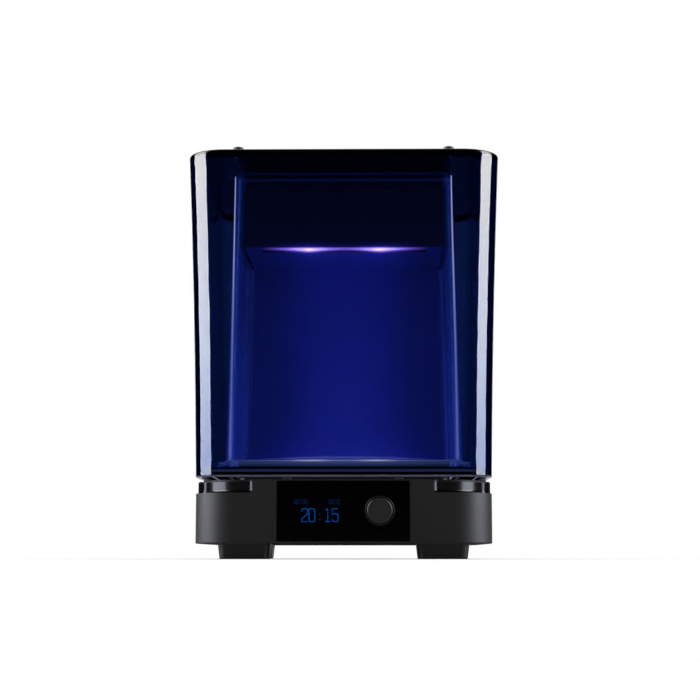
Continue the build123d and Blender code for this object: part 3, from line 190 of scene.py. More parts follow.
def bell(value, centre, width, power=2.0):
    """1 where the value is at the centre, falling off within about that width."""
    away = (abs(value - centre) / width) ** power
    return compute("EXPONENT", away * -1.0)


def fade(distance, length):
    """1 at no distance, falling by the same share over each such length."""
    return compute("EXPONENT", distance / -length)


# ---------------------------------------------------------------- materials in general
GRAIN_DETAIL = 3.0
POLISH_DETAIL = 2.0
MOTTLE_DETAIL = 4.0
# how much broader than the grain the polish and the colour wander
POLISH_BREADTH = 40
MOTTLE_BREADTH = 12

# clear plastic: its wall, and how its smears vary the polish
WALL = 0.004
PLASTIC_IOR = 1.49
SMEAR_SCALE = 22.0
SMEAR_ROUGHNESS = 0.0006

# a lit surface: how finely it wavers, and the share of its light where it is dimmest
WAVER_SCALE = 2500.0
WAVER_DETAIL = 2.0
WAVER_LOW = 0.85


def new_material(name, inputs):
    """A node material whose shader has these inputs set."""
    material = bpy.data.materials.new(name)
    material.use_nodes = True
    for socket, value in inputs.items():
        shader_of(material).inputs[socket].default_value = value
    return material


def shader_of(material):
    """The material's shader."""
    return material.node_tree.nodes["Principled BSDF"]


def noise(tree, scale, detail):
    """Noise over the object, from 0 to 1."""
    made = node(tree, "ShaderNodeTexNoise", Scale=scale, Detail=detail)
    tree.links.new(object_point(tree), made.inputs["Vector"])
    return made.outputs["Fac"]


def vary_roughness(material, wander, low, high):
    """Lets the roughness go from low to high with the noise."""
    tree = material.node_tree
    made = node(tree, "ShaderNodeMapRange", To_Min=low, To_Max=high)
    tree.links.new(wander, made.inputs["Value"])
    tree.links.new(made.outputs["Result"], shader_of(material).inputs["Roughness"])


def vary_colour(material, wander, dark, light, socket="Base Color"):
    """Lets one of the shader's colours go from dark to light with the noise."""
    tree = material.node_tree
    ramp = node(tree, "ShaderNodeValToRGB")
    ramp.color_ramp.elements[0].color = (*dark, 1)
    ramp.color_ramp.elements[1].color = (*light, 1)
    tree.links.new(wander, ramp.inputs["Fac"])
    tree.links.new(ramp.outputs["Color"], shader_of(material).inputs[socket])


def add_grain(material, scale, height, spread):
    """Fine moulded grain: bump, and roughness that wanders with it by the spread."""
    tree = material.node_tree
    bump = node(tree, "ShaderNodeBump", Strength=1.0, Distance=height)
    tree.links.new(noise(tree, scale, GRAIN_DETAIL), bump.inputs["Height"])
    tree.links.new(bump.outputs["Normal"], shader_of(material).inputs["Normal"])
    level = shader_of(material).inputs["Roughness"].default_value
    vary_roughness(material, noise(tree, scale / POLISH_BREADTH, POLISH_DETAIL),
                   max(level - spread, 0.0), min(level + spread, 1.0))


def add_mottle(material, colour, scale, change):
    """A colour that varies slightly over the surface."""
    dark = [share * (1 - change) for share in colour]
    light = [min(share * (1 + change), 1) for share in colour]
    vary_colour(material, noise(material.node_tree, scale, MOTTLE_DETAIL), dark, light)


def solid(name, colour, roughness, metallic=0.0, specular=0.5, grain=900.0, height=0.00002, spread=0.04,
          mottle=0.12):
    """Plastic, rubber, paint or metal with grain and slight variation. A single number is a grey."""
    if isinstance(colour, float):
        colour = (colour, colour, colour)
    material = new_material(name, {"Roughness": roughness, "Metallic": metallic,
                                   "Specular IOR Level": specular})
    add_grain(material, grain, height, spread)
    add_mottle(material, colour, grain / MOTTLE_BREADTH, mottle)
    return material


def clear(name, passes):
    """Tinted clear plastic; passes is what one wall lets through, in red, green and blue.

    The tint absorbs along the light's way, so edges and slanting walls come out darker. Faint smears vary
    the polish.
    """
    material = new_material(name, {"Base Color": (1, 1, 1, 1), "Transmission Weight": 1.0,
                                   "IOR": PLASTIC_IOR})
    tree = material.node_tree
    rates = [-math.log(share) / WALL for share in passes]
    absorb = node(tree, "ShaderNodeVolumeAbsorption", Density=max(rates),
                  Color=(*[1 - rate / max(rates) for rate in rates], 1))
    tree.links.new(absorb.outputs["Volume"], tree.nodes["Material Output"].inputs["Volume"])
    vary_roughness(material, noise(tree, SMEAR_SCALE, POLISH_DETAIL), 0.0, SMEAR_ROUGHNESS)
    return material


def glowing(name, colour, strength):
    """A lit surface that wavers slightly, such as a display's pixels or a lamp's chip."""
    material = new_material(name, {"Base Color": (0.0, 0.0, 0.0, 1), "Specular IOR Level": 0.0,
                                   "Emission Strength": strength})
    vary_colour(material, noise(material.node_tree, WAVER_SCALE, WAVER_DETAIL),
                [share * WAVER_LOW for share in colour], colour, "Emission Color")
    return material


def emit(material, *terms):
    """Light given off: the sum of colours, each times its own strength. Returns the material."""
    tree = material.node_tree
    total = None
    for colour, strength in terms:
        scaled = node(tree, "ShaderNodeVectorMath", operation="SCALE")
        scaled.inputs[0].default_value = colour
        tree.links.new(strength.socket, scaled.inputs["Scale"])
        if total is None:
            total = scaled.outputs[0]
            continue
        added = node(tree, "ShaderNodeVectorMath", operation="ADD")
        tree.links.new(total, added.inputs[0])
        tree.links.new(scaled.outputs[0], added.inputs[1])
        total = added.outputs[0]
    shader = shader_of(material)
    tree.links.new(total, shader.inputs["Emission Color"])
    shader.inputs["Emission Strength"].default_value = 1.0
    return material


# ---------------------------------------------------------------- light in the chamber: the lens's own, and painted glows on the pieces round it
# what one wall of the smoked hood, of the inner box and of the studs lets through
SMOKE = (0.052, 0.092, 0.225)
BOX_TINT = (0.88, 0.91, 0.97)
STUD_TINT = (0.3, 0.36, 0.6)
# the share that is left when a wall's two faces have reflected theirs
GLOSS_LEAVES = 0.92


def behind_sleeve(*seen):
    """The light that a piece gives off to look like that through the hood's smoked wall."""
    return tuple(level / (smoke * GLOSS_LEAVES) for level, smoke in zip(seen, SMOKE))


def behind_hood(*seen):
    """The same behind the hood's smoked wall and the front of the inner box."""
    return tuple(level / (tint * GLOSS_LEAVES) for level, tint in zip(behind_sleeve(*seen), BOX_TINT))


# A pair of numbers is a span for rise(): where a glow starts, and where it is full.
# Spans of a face's share along z: on standing faces, on level faces, and on all that aren't level.
STANDING = (0.5, 0.3)
LEVEL = (0.5, 0.9)
NOT_LEVEL = (0.9, 0.5)

# how far along x the lamps' light reaches on the lens, and the painted lamp light on the reflector, and how
# it falls off
LAMP_REACH = 0.046
SHEET_PAINTED_REACH = 0.056
LAMP_FALL = 2.0


def under_lamps(x, reach):
    """How strongly the two lamps show at a place x: 1 under each, 0 at that reach from it. It shapes the
    lens's own light and the painted lamp light on the reflector and the tower.
    """
    left, right = (compute("SUBTRACT", 1.0, abs(x - lamp) / reach, clamp=True) ** LAMP_FALL
                   for lamp in (-LAMP_X, LAMP_X))
    return left + right


# the disc's painted glow, standing in for the chamber's light: on its top, and on its edge and underside
DISC_COLOUR = (0.55, 0.62, 0.85)
DISC_TOP_PAINTED_GLOW = behind_hood(0.004, 0.006, 0.05)
DISC_EDGE_PAINTED_GLOW = behind_hood(0.020, 0.027, 0.145)


def frosted_disc_painted_glow(name):
    """Frosted glass: part of the light passes through it, blurred; a painted glow on its top, edge and
    underside stands in for the light that lights it up.
    """
    material = new_material(name, {"Transmission Weight": 0.45, "IOR": 1.5, "Roughness": 0.35})
    add_grain(material, scale=2200.0, height=0.000004, spread=0.05)
    add_mottle(material, DISC_COLOUR, scale=120.0, change=0.05)
    up = facing(material.node_tree)[2]
    return emit(material, (DISC_EDGE_PAINTED_GLOW, rise(up, NOT_LEVEL)), (DISC_TOP_PAINTED_GLOW, rise(up, LEVEL)))


# the sleeve's rounded lower edge, where a painted highlight runs
SLEEVE_FOOT = (SLEEVE_LOW + 0.0013, SLEEVE_LOW + 0.0008)
SLEEVE_FOOT_PAINTED_HIGHLIGHT = (0.045, 0.048, 0.075)


def sleeve_painted_highlight(name):
    """The smoked hood, with a painted highlight as a pale line along its rounded lower edge."""
    material = clear(name, SMOKE)
    z = place(material.node_tree)[2]
    return emit(material, (SLEEVE_FOOT_PAINTED_HIGHLIGHT, rise(z, SLEEVE_FOOT)))


# the frame and the gaskets: a painted line of the chamber's light between two heights, and painted grey
# light on the underside
GASKET_BLACK = 0.004
FRAME_BLUE = (0.004, 0.006, 0.02)
TRIM_LINE_LOW = (0.0650, 0.0653)
TRIM_LINE_HIGH = (0.0674, 0.0671)
TRIM_UNDERSIDE = (0.0640, 0.0635)
TRIM_LINE_PAINTED_GLOW = behind_sleeve(0.0080, 0.0150, 0.055)
TRIM_UNDERSIDE_PAINTED_LIGHT = (0.026, 0.027, 0.035)


def painted_light_trim(name, colour, roughness):
    """A trim piece of the hood with a painted thin line of the chamber's light and painted grey light on
    its underside.
    """
    material = solid(name, colour, roughness, specular=0.0, grain=300, height=0.000001)
    z = place(material.node_tree)[2]
    level = abs(facing(material.node_tree)[2])
    line = rise(z, TRIM_LINE_LOW) * rise(z, TRIM_LINE_HIGH) * rise(level, STANDING)
    under = rise(z, TRIM_UNDERSIDE) * rise(level, LEVEL)
    return emit(material, (TRIM_LINE_PAINTED_GLOW, line), (TRIM_UNDERSIDE_PAINTED_LIGHT, under))


# the deck, and the painted highlight along its upper edge
DECK_BLACK = (0.02, 0.02, 0.024)
DECK_EDGE = (DECK_TOP - 0.0014, DECK_TOP - 0.0010)
DECK_EDGE_PAINTED_HIGHLIGHT = behind_hood(0.024, 0.030, 0.17)


def deck_painted_highlight(name):
    """The black deck, with a painted highlight along its upper edge where it meets the clear box."""
    material = solid(name, DECK_BLACK, roughness=0.22, height=0.000008)
    z = place(material.node_tree)[2]
    up = facing(material.node_tree)[2]
    return emit(material, (DECK_EDGE_PAINTED_HIGHLIGHT, rise(z, DECK_EDGE) * rise(up, STANDING)))


# the lens's line of light: its height and half width, how far it drops and how much it swells
# under the lamps, and its level
LENS_LINE_Z = 0.2474
LENS_LINE_WIDTH = 0.0009
LENS_LINE_DROP = 0.0007
LENS_LINE_SWELL = 0.0006
LENS_LEVEL = 2.25
# its violet light, and what makes it whiter where it is strongest
LENS_LIGHT = behind_hood(0.17, 0.085, 1.0)
LENS_LIGHT_STRONG = behind_hood(0.16, 0.14, 0.0)


def glowing_lens(name):
    """The diffuser: a thin line of light, brightest under its two lamps and pointed at its ends."""
    material = new_material(name, {"Base Color": (0.05, 0.05, 0.07, 1), "Roughness": 0.35})
    x, _, z = place(material.node_tree)
    lamps = under_lamps(x, LAMP_REACH)
    middle = LENS_LINE_Z - lamps * LENS_LINE_DROP
    width = lamps * LENS_LINE_SWELL + LENS_LINE_WIDTH
    strength = lamps * bell(z, middle, width) * LENS_LEVEL
    return emit(material, (LENS_LIGHT, strength), (LENS_LIGHT_STRONG, strength * strength))


SHEET_WHITE = (0.45, 0.48, 0.58)
# the reflector's painted light, standing in for the lamps' light on it: all over, down its middle, at its
# foot above the disc, and under the lamps
SHEET_BASE = 0.002
SHEET_MIDDLE = 0.088
SHEET_FOOT = 0.058
SHEET_TOP = 0.175
# the middle's half width and what is added to it at the foot, its edge, and its dimmer upper part
SHEET_MIDDLE_WIDTH = 0.047
SHEET_MIDDLE_SPREAD = 0.045
SHEET_MIDDLE_EDGE = 3.0
SHEET_DIMMER = (0.24, 0.13)
SHEET_DIMMEST = 0.5
# the foot's height, half width and edge
SHEET_FOOT_FADE = 0.0115
SHEET_FOOT_WIDTH = 0.070
SHEET_FOOT_EDGE = 6.0
# how the top's painted light fades behind the lens, and the heights between which it comes up
SHEET_TOP_FADE = 0.03
SHEET_TOP_HEIGHTS = (0.2, 0.24)
# its painted blue light, and what makes it paler where it is strongest
SHEET_PAINTED_LIGHT = behind_hood(0.016, 0.028, 1.0)
SHEET_PAINTED_LIGHT_STRONG = behind_hood(1.4, 1.7, 0.0)


def painted_light_sheet(name):
    """The white reflector, with painted light standing in for the lamps' light from above and the turntable
    glass's light from below.
    """
    material = solid(name, SHEET_WHITE, roughness=0.5, specular=0.4, grain=500, height=0.000004,
                     mottle=0.03)
    x, y, z = place(material.node_tree)
    low = fade(z - DISC_TOP, SHEET_FOOT_FADE)
    width = low * SHEET_MIDDLE_SPREAD + SHEET_MIDDLE_WIDTH
    middle = (bell(x, 0.0, width, SHEET_MIDDLE_EDGE) * SHEET_MIDDLE
              * (rise(z, SHEET_DIMMER) * (1 - SHEET_DIMMEST) + SHEET_DIMMEST))
    foot = low * bell(x, 0.0, SHEET_FOOT_WIDTH, SHEET_FOOT_EDGE) * SHEET_FOOT
    top = (fade(y - LENS_HIGH.y, SHEET_TOP_FADE) * under_lamps(x, SHEET_PAINTED_REACH)
           * rise(z, SHEET_TOP_HEIGHTS) * SHEET_TOP)
    # the painted light's strength over the reflector: its middle, foot, top and base
    lit = middle + foot + (top + SHEET_BASE)
    return emit(material, (SHEET_PAINTED_LIGHT, lit), (SHEET_PAINTED_LIGHT_STRONG, lit * lit * lit))


# the tower's painted light: a faint glow on its front, stronger lower down, a rim along the lens, and a
# strip on either side of the rear reflector
TOWER_BLACK = (0.006, 0.006, 0.008)
TOWER_FACE = (TOWER_FRONT + 0.008, TOWER_FRONT + 0.003)
TOWER_LOWER = (0.30, 0.25)
TOWER_RIM_WIDTH = 0.0028
TOWER_STRIP_FRONT = (0.045, 0.047)
TOWER_STRIP_REAR = (0.049, 0.0485)
TOWER_STRIP_TOP = (0.249, 0.248)
TOWER_FACE_PAINTED_GLOW = behind_hood(0.0004, 0.0005, 0.0032)
TOWER_RIM_PAINTED_GLOW = behind_hood(0.006, 0.006, 0.16)
TOWER_STRIP_PAINTED_GLOW = behind_hood(0.003, 0.006, 0.065)


def painted_glow_head(name):
    """The black lamp tower, with a faint painted light on its front standing in for the chamber's, more
    along its lower edge.
    """
    material = solid(name, TOWER_BLACK, roughness=0.5, grain=1200)
    x, y, z = place(material.node_tree)
    front = rise(y, TOWER_FACE)
    faint = front * (rise(z, TOWER_LOWER) + 1.0)
    rim = front * bell(z, LENS_LINE_Z, TOWER_RIM_WIDTH) * under_lamps(x, LAMP_REACH)
    strip = rise(y, TOWER_STRIP_FRONT) * rise(y, TOWER_STRIP_REAR) * rise(z, TOWER_STRIP_TOP)
    return emit(material, (TOWER_FACE_PAINTED_GLOW, faint), (TOWER_RIM_PAINTED_GLOW, rim), (TOWER_STRIP_PAINTED_GLOW, strip))


# ---------------------------------------------------------------- painted light in the inner box
# where the walls' painted glow starts above the flange, and the corners' painted glow
BOX_WALL_FOOT = (0.0735, 0.076)
BOX_CORNER_FOOT = (0.0735, 0.078)
# where it ends beside the lamp head, and how much higher that lies for each metre towards the back
BOX_HEAD = (0.262, 0.248)
BOX_HEAD_SLOPE = 0.19
# shares along x: on the side walls, and on all that aren't side walls
BOX_SIDE = (0.985, 0.998)
BOX_NOT_SIDE = (0.998, 0.985)
# the share along x times x: on faces that look outwards
BOX_OUTWARD = (0.0, 0.002)
# the side walls' painted glow: brighter to the back and lower down
BOX_WALL_BACK = (0.0, 0.1)
BOX_WALL_LOW = (0.23, 0.10)
BOX_WALL_LEVEL = 0.6
BOX_REAR = (0.080, 0.098)
# the painted highlight line down each rounded corner: the share along x at which it lies, how that grows
# with the height and is less on the right, its width, how that shrinks with the height, and where the line
# gets brighter towards the top
CORNER_AT = 0.535
CORNER_LEAN = 1.27
CORNER_RIGHT = (-0.01, 0.01)
CORNER_RIGHT_HEIGHTS = (0.13, 0.30)
CORNER_RIGHT_SHIFT = 0.13
CORNER_WIDTH = 0.16
CORNER_NARROWS = 0.4
CORNER_HIGH = (0.13, 0.31)
# a broad faint painted glow round the same corners
TAIL_AT = 0.5
TAIL_WIDTH = 0.35
# the painted lines along the edges at the top: the rounded outer one, and the inner one's distance below it
# and half width
EDGE_TILT = 0.7
EDGE_WIDTH = 0.15
EDGE_HEIGHTS = (0.285, 0.29)
INNER_EDGE_DROP = 0.0064
INNER_EDGE_WIDTH = 0.0007
# the foot's painted line of light: its height and half width, the faces that it lies on, the painted
# reflections of the lamps in it and their glow
FOOT_LINE_Z = 0.0745
FOOT_LINE_WIDTH = 0.00045
FOOT_FACES = (0.99, 0.95)
FOOT_LAMP_X = 0.025
FOOT_LAMP_WIDTH = 0.012
FOOT_GLOW_WIDTH = 0.06
# the flange's painted glow: between two heights, brighter in the middle
FLANGE_LOW = (0.0690, 0.0738)
FLANGE_HIGH = (0.0736, 0.0734)
FLANGE_MIDDLE_WIDTH = 0.075
FLANGE_LEVEL = 0.7

# colours of the painted light on the inner box: glows, highlights down the corners, and reflections of the
# lamps in the foot
BOX_PAINTED_LIGHT = {
    "wall": behind_sleeve(0.0012, 0.0022, 0.028),
    "rear": behind_sleeve(0.0025, 0.0045, 0.070),
    "corner": behind_sleeve(0.072, 0.092, 0.145),
    "high": behind_sleeve(0.286, 0.29, 0.675),
    "tail": behind_sleeve(0.0008, 0.0035, 0.035),
    "edge": behind_sleeve(0.0024, 0.0044, 0.030),
    "inner_edge": behind_sleeve(0.0012, 0.0020, 0.014),
    "foot": behind_sleeve(0.011, 0.022, 0.15),
    "foot_glow": behind_sleeve(0.080, 0.085, 0.18),
    "foot_lamps": behind_sleeve(0.22, 0.20, 0.21),
    "flange": behind_sleeve(0.009, 0.015, 0.042),
}


def painted_light_box(name):
    """Clear plastic with painted light: its sides, foot, flange and top edges glow, and its corners and
    foot show painted highlights and painted reflections of the lamps.
    """
    material = clear(name, BOX_TINT)
    tree = material.node_tree
    x, y, z = place(tree)
    across, _, up = facing(tree)
    from_outside = 1.0 - Value(tree, node(tree, "ShaderNodeNewGeometry").outputs["Backfacing"])
    side = abs(across)
    level = abs(up)
    outward = rise(across * x, BOX_OUTWARD) * from_outside
    upright = rise(level, STANDING)
    above_foot = rise(z, BOX_WALL_FOOT)
    below_head = rise(z - y * BOX_HEAD_SLOPE, BOX_HEAD)
    # strengths of the painted light over the box: glows, corner highlights and lamp reflections
    strength = {}
    strength["wall"] = (rise(side, BOX_SIDE) * above_foot * below_head * (rise(y, BOX_WALL_BACK) + 1.0)
                        * (rise(z, BOX_WALL_LOW) + BOX_WALL_LEVEL))
    strength["rear"] = rise(y, BOX_REAR) * above_foot * below_head * upright
    shift = rise(x, CORNER_RIGHT) * rise(z, CORNER_RIGHT_HEIGHTS) * CORNER_RIGHT_SHIFT
    line = bell(side, z * CORNER_LEAN + CORNER_AT - shift, CORNER_WIDTH - z * CORNER_NARROWS)
    strength["corner"] = line * outward * rise(z, BOX_CORNER_FOOT) * upright * rise(side, BOX_NOT_SIDE)
    strength["high"] = strength["corner"] * rise(z, CORNER_HIGH)
    strength["tail"] = bell(side, TAIL_AT, TAIL_WIDTH) * outward * above_foot * upright
    strength["edge"] = bell(level, EDGE_TILT, EDGE_WIDTH) * rise(z, EDGE_HEIGHTS)
    strength["inner_edge"] = bell(z, BOX_TOP - INNER_EDGE_DROP, INNER_EDGE_WIDTH) * upright
    foot = bell(z, FOOT_LINE_Z, FOOT_LINE_WIDTH) * rise(level, FOOT_FACES)
    strength["foot"] = foot
    strength["foot_glow"] = foot * bell(x, 0.0, FOOT_GLOW_WIDTH)
    strength["foot_lamps"] = foot * bell(abs(x), FOOT_LAMP_X, FOOT_LAMP_WIDTH)
    strength["flange"] = (rise(z, FLANGE_LOW) * rise(z, FLANGE_HIGH) * upright
                          * (bell(x, 0.0, FLANGE_MIDDLE_WIDTH) + FLANGE_LEVEL))
    return emit(material, *[(colour, strength[part]) for part, colour in BOX_PAINTED_LIGHT.items()])


# ---------------------------------------------------------------- the pieces' materials
# plain ones: colour, roughness, and what differs from the usual in solid()
PLAIN = {
    "housing": (0.004, 0.5, dict(specular=0.34, grain=1600, height=0.00003)),
    "grip_black": (0.003, 0.22, dict(specular=0.25, grain=300, height=0.000002)),
    "plate_steel": (0.01, 0.5, dict(grain=1200, height=0.00004)),
    "foot_rubber": (0.003, 0.4, dict(specular=0.33, grain=1400)),
    "fastener_steel": (0.55, 0.3, dict(metallic=1.0, mottle=0.05)),
    "panel_gloss": (0.0008, 0.05, dict(specular=0.3, grain=200, height=0.0000005, spread=0.02)),
    "display_glass": ((0.002, 0.004, 0.008), 0.08, dict(grain=200, height=0.000001)),
    "knob_grey": ((0.0060, 0.0060, 0.0064), 0.38, dict(grain=1500, height=0.00002)),
    "bezel_metal": ((0.035, 0.035, 0.038), 0.45, dict(metallic=1.0, grain=700, height=0.000004)),
    "encoder_metal": (0.5, 0.35, dict(metallic=1.0)),
    "shaft_steel": (0.6, 0.25, dict(metallic=1.0, mottle=0.05)),
    "plunger_white": ((0.7, 0.7, 0.68), 0.45, {}),
    "circuit_board": ((0.01, 0.09, 0.04), 0.35, dict(grain=500)),
    "post_plastic": (0.02, 0.5, {}),
    "hub_plastic": (0.03, 0.45, {}),
    "bearing_plastic": ((0.75, 0.73, 0.66), 0.4, {}),
    "motor_metal": ((0.35, 0.36, 0.36), 0.35, dict(metallic=1.0, mottle=0.08)),
    "board_metal": (0.7, 0.4, dict(grain=500)),
    "heatsink_metal": ((0.5, 0.5, 0.52), 0.35, dict(metallic=1.0, grain=600)),
    "spine_steel": ((0.3, 0.3, 0.31), 0.4, dict(metallic=1.0, grain=400)),
    "heater_silicone": ((0.5, 0.12, 0.03), 0.55, {}),
    "pad_rubber": (0.006, 0.55, dict(grain=1400)),
    "sensor_black": (0.01, 0.3, {}),
    "inlet_black": (0.01, 0.4, dict(grain=1500)),
    "pin_metal": ((0.7, 0.66, 0.55), 0.25, dict(metallic=1.0, mottle=0.06)),
    "rocker_black": (0.012, 0.25, dict(grain=900, height=0.000006)),
    "fan_black": (0.01, 0.45, dict(grain=1200)),
    "supply_case": (0.5, 0.35, dict(metallic=1.0, grain=500, mottle=0.06)),
    "hood_black": ((0.0015, 0.0015, 0.002), 0.1, dict(specular=0.3, grain=300, height=0.000001,
                                                      spread=0.02)),
    "magnet_nickel": ((0.7, 0.7, 0.68), 0.15, dict(metallic=1.0, mottle=0.04)),
}
DIE_VIOLET = (0.86, 0.62, 1.0)
DIE_STRENGTH = 20.0


def make_materials():
    """One material for each of the record's slots."""
    materials = {slot: solid(slot, colour, roughness, **more)
                 for slot, (colour, roughness, more) in PLAIN.items()}
    # the pieces with painted light: glows, highlights and reflections standing in for the chamber's light
    materials.update({
        "deck_black": deck_painted_highlight("deck_black"),
        "disc_glass": frosted_disc_painted_glow("disc_glass"),
        "tower_black": painted_glow_head("tower_black"),
        "reflector_sheet": painted_light_sheet("reflector_sheet"),
        "lens_clear": glowing_lens("lens_clear"),
        "emitter_die": glowing("emitter_die", DIE_VIOLET, DIE_STRENGTH),
        "hood_smoke": sleeve_painted_highlight("hood_smoke"),
        "box_tint": painted_light_box("box_tint"),
        "stud_tint": clear("stud_tint", STUD_TINT),
        "gasket_black": painted_light_trim("gasket_black", GASKET_BLACK, roughness=0.8),
        "frame_tint": painted_light_trim("frame_tint", FRAME_BLUE, roughness=0.5),
    })
    return materials


def dress_nodes(materials):
    """Gives every CAD node its slot's material."""
    for subpart in frame["record"]["subparts"]:
        piece = frame["nodes"][subpart["node"]]
        piece.data.materials.clear()
        piece.data.materials.append(materials[subpart["material_slot"]])


# ---------------------------------------------------------------- display
DIGIT_BLUE = (0.0, 0.062, 0.31)
LIT_STRENGTH = 1.0
DIM_STRENGTH = 0.6
# how far the strokes' middles stand before the panel, and in how many steps each is rounded
DIGIT_RISE = 0.00006
STROKE_ROUNDNESS = 2
# each size of number: its digits' width and height, the gap after each, a dot's space, the stroke
BIG = (0.0043, 0.0096, 0.0011, 0.0067, 0.00066)
SMALL = (0.00175, 0.0032, 0.00065, 0.0014, 0.00015)
# each number: its name, text and size, its left end from the display's, its foot from the middle
NUMBERS = (("display_time", "20:15", BIG, 0.0115, -0.0081),
           ("display_small_left", "60:00", SMALL, 0.0055, 0.0051),
           ("display_small_right", "60.0", SMALL, 0.0318, 0.0051))

# strokes of each digit in a box from (0, 0) to (1, 1), and the heights of the dots
DIGIT_STROKES = {
    "0": [[(0, 0.07), (0, 0.93), (0.14, 1), (0.86, 1), (1, 0.93), (1, 0.07), (0.86, 0), (0.14, 0),
           (0, 0.07)]],
    "1": [[(0, 0.92), (0.2, 0.92), (0.45, 1), (0.45, 0)], [(0, 0), (0.84, 0)]],
    "2": [[(0, 0.8), (0, 0.93), (0.14, 1), (0.86, 1), (1, 0.93), (1, 0.6), (0, 0.2), (0, 0), (1, 0)]],
    "5": [[(0.9, 1), (0, 1), (0, 0.52), (0.22, 0.6), (0.82, 0.6), (1, 0.52), (1, 0.08), (0.84, 0),
           (0.16, 0), (0, 0.08), (0, 0.18)]],
    "6": [[(1, 0.9), (0.84, 1), (0.16, 1), (0, 0.92), (0, 0.08), (0.16, 0), (0.84, 0), (1, 0.08),
           (1, 0.48), (0.84, 0.56), (0, 0.5)]],
}
DOTS = {":": (0.16, 0.6), ".": (0.0,)}
# a dot's length and thickness, in strokes
DOT_LENGTH = 2 / 3
DOT_THICKNESS = 1.2


def stroke_piece(name, strokes, material):
    """Thin rounded strokes on the panel's face as one curve."""
    curve = bpy.data.curves.new(name, "CURVE")
    curve.dimensions = "3D"
    curve.bevel_resolution = STROKE_ROUNDNESS
    # so that each point's radius is the stroke's own
    curve.bevel_depth = 1.0
    for points, radius in strokes:
        line = curve.splines.new("POLY")
        line.points.add(len(points) - 1)
        for point, spot in zip(line.points, points):
            point.co = (*spot, 1)
            point.radius = radius
    piece = bpy.data.objects.new(name, curve)
    bpy.context.scene.collection.objects.link(piece)
    curve.materials.append(material)
    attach(piece, "base")
    return piece


def write_number(name, text, size, left, bottom, material):
    """A row of digits as one piece; a colon or point takes its own space."""
    width, height, gap, dot_space, stroke = size
    face = PANEL_FRONT - DIGIT_RISE
    strokes = []
    x = left
    for sign in text:
        if sign in DOTS:
            middle = x + (dot_space - gap) / 2
            half = stroke * DOT_LENGTH / 2
            for share in DOTS[sign]:
                z = bottom + height * share
                strokes.append(([(middle - half, face, z), (middle + half, face, z)],
                                stroke * DOT_THICKNESS / 2))
            x += dot_space
            continue
        for path in DIGIT_STROKES[sign]:
            points = [(x + u * width, face, bottom + v * height) for u, v in path]
            strokes.append((points, stroke / 2))
        x += width + gap
    stroke_piece(name, strokes, material)


def make_display():
    """The lit figures: a clock-like number, with two small dimmer numbers above it."""
    looks = {BIG: glowing("display_digits", DIGIT_BLUE, LIT_STRENGTH),
             SMALL: glowing("display_small_digits", DIGIT_BLUE, DIM_STRENGTH)}
    middle = (DISPLAY_LOW.z + DISPLAY_HIGH.z) / 2
    for name, text, size, left, bottom in NUMBERS:
        write_number(name, text, size, DISPLAY_LOW.x + left, middle + bottom, looks[size])


# ---------------------------------------------------------------- lamps
SIDE_LAMP_DISTANCE = 1.1
SIDE_LAMP_HEIGHT = 2.4
# of each side lamp: which side, its name, its middle along y and its width
SIDE_LAMPS = ((-1, "left", -0.17, 0.88), (1, "right", -0.24, 0.74))
# the power of one that is a metre wide
SIDE_LAMP_POWER = 106.0 / 0.88
# their colour at some heights in metres, blended between them on a ramp that ends at the span
SIDE_LAMP_SPAN = 0.6
SIDE_LAMP_COLOURS = ((0.088, (0.62, 0.62, 0.62)), (0.102, (0.48, 0.57, 0.80)),
                     (0.24, (0.76, 0.82, 0.95)), (0.50, (0.98, 0.96, 0.94)))
# what their power is multiplied by: the first at y 0, the second for every metre towards the back
SIDE_LAMP_FADE = (0.79, -0.55)
SOFT_LAMP_PLACE = (0, -1.2, 1.6)
SOFT_LAMP_SIZE = (1.6, 1.6)
SOFT_LAMP_POWER = 9.0
# the unit's own two lamps: how far below the lens, and how far behind it on the deck they aim
CURING_LAMP_GAP = 0.001
CURING_LAMP_AIM = 0.03
CURING_LAMP_SIZE = (0.02, 0.008)
CURING_LAMP_POWER = 0.02
CURING_LAMP_BLUE = (0.030, 0.045, 1.0)


def area_lamp(name, spot, towards, size, power, colour=(1, 1, 1), **seen_by):
    """A rectangular lamp that the camera and clear walls don't see, unless seen_by says otherwise."""
    data = bpy.data.lights.new(name, "AREA")
    data.shape = "RECTANGLE"
    data.size, data.size_y = size
    data.energy = power
    data.color = colour
    lamp = bpy.data.objects.new(name, data)
    bpy.context.scene.collection.objects.link(lamp)
    lamp.location = spot
    lamp.rotation_euler = (Vector(towards) - Vector(spot)).to_track_quat("-Z", "Y").to_euler()
    lamp.visible_camera = False
    lamp.visible_transmission = False
    for kind, seen in seen_by.items():
        setattr(lamp, kind, seen)
    return lamp


def grade_lamp(lamp):
    """A side lamp's light: grey at its foot, pale blue above, nearly white at its top, dimmer behind."""
    lamp.data.use_nodes = True
    tree = lamp.data.node_tree
    emission = tree.nodes["Emission"]
    _, along, height = split(tree, node(tree, "ShaderNodeNewGeometry").outputs["Position"])
    ramp = node(tree, "ShaderNodeValToRGB")
    stops = ramp.color_ramp.elements
    while len(stops) < len(SIDE_LAMP_COLOURS):
        stops.new(0.5)
    for stop, (at, colour) in zip(stops, SIDE_LAMP_COLOURS):
        stop.position = at / SIDE_LAMP_SPAN
        stop.color = (*colour, 1)
    share = compute("DIVIDE", height, SIDE_LAMP_SPAN, clamp=True)
    tree.links.new(share.socket, ramp.inputs["Fac"])
    tree.links.new(ramp.outputs["Color"], emission.inputs["Color"])
    level, slope = SIDE_LAMP_FADE
    tree.links.new((along * slope + level).socket, emission.inputs["Strength"])


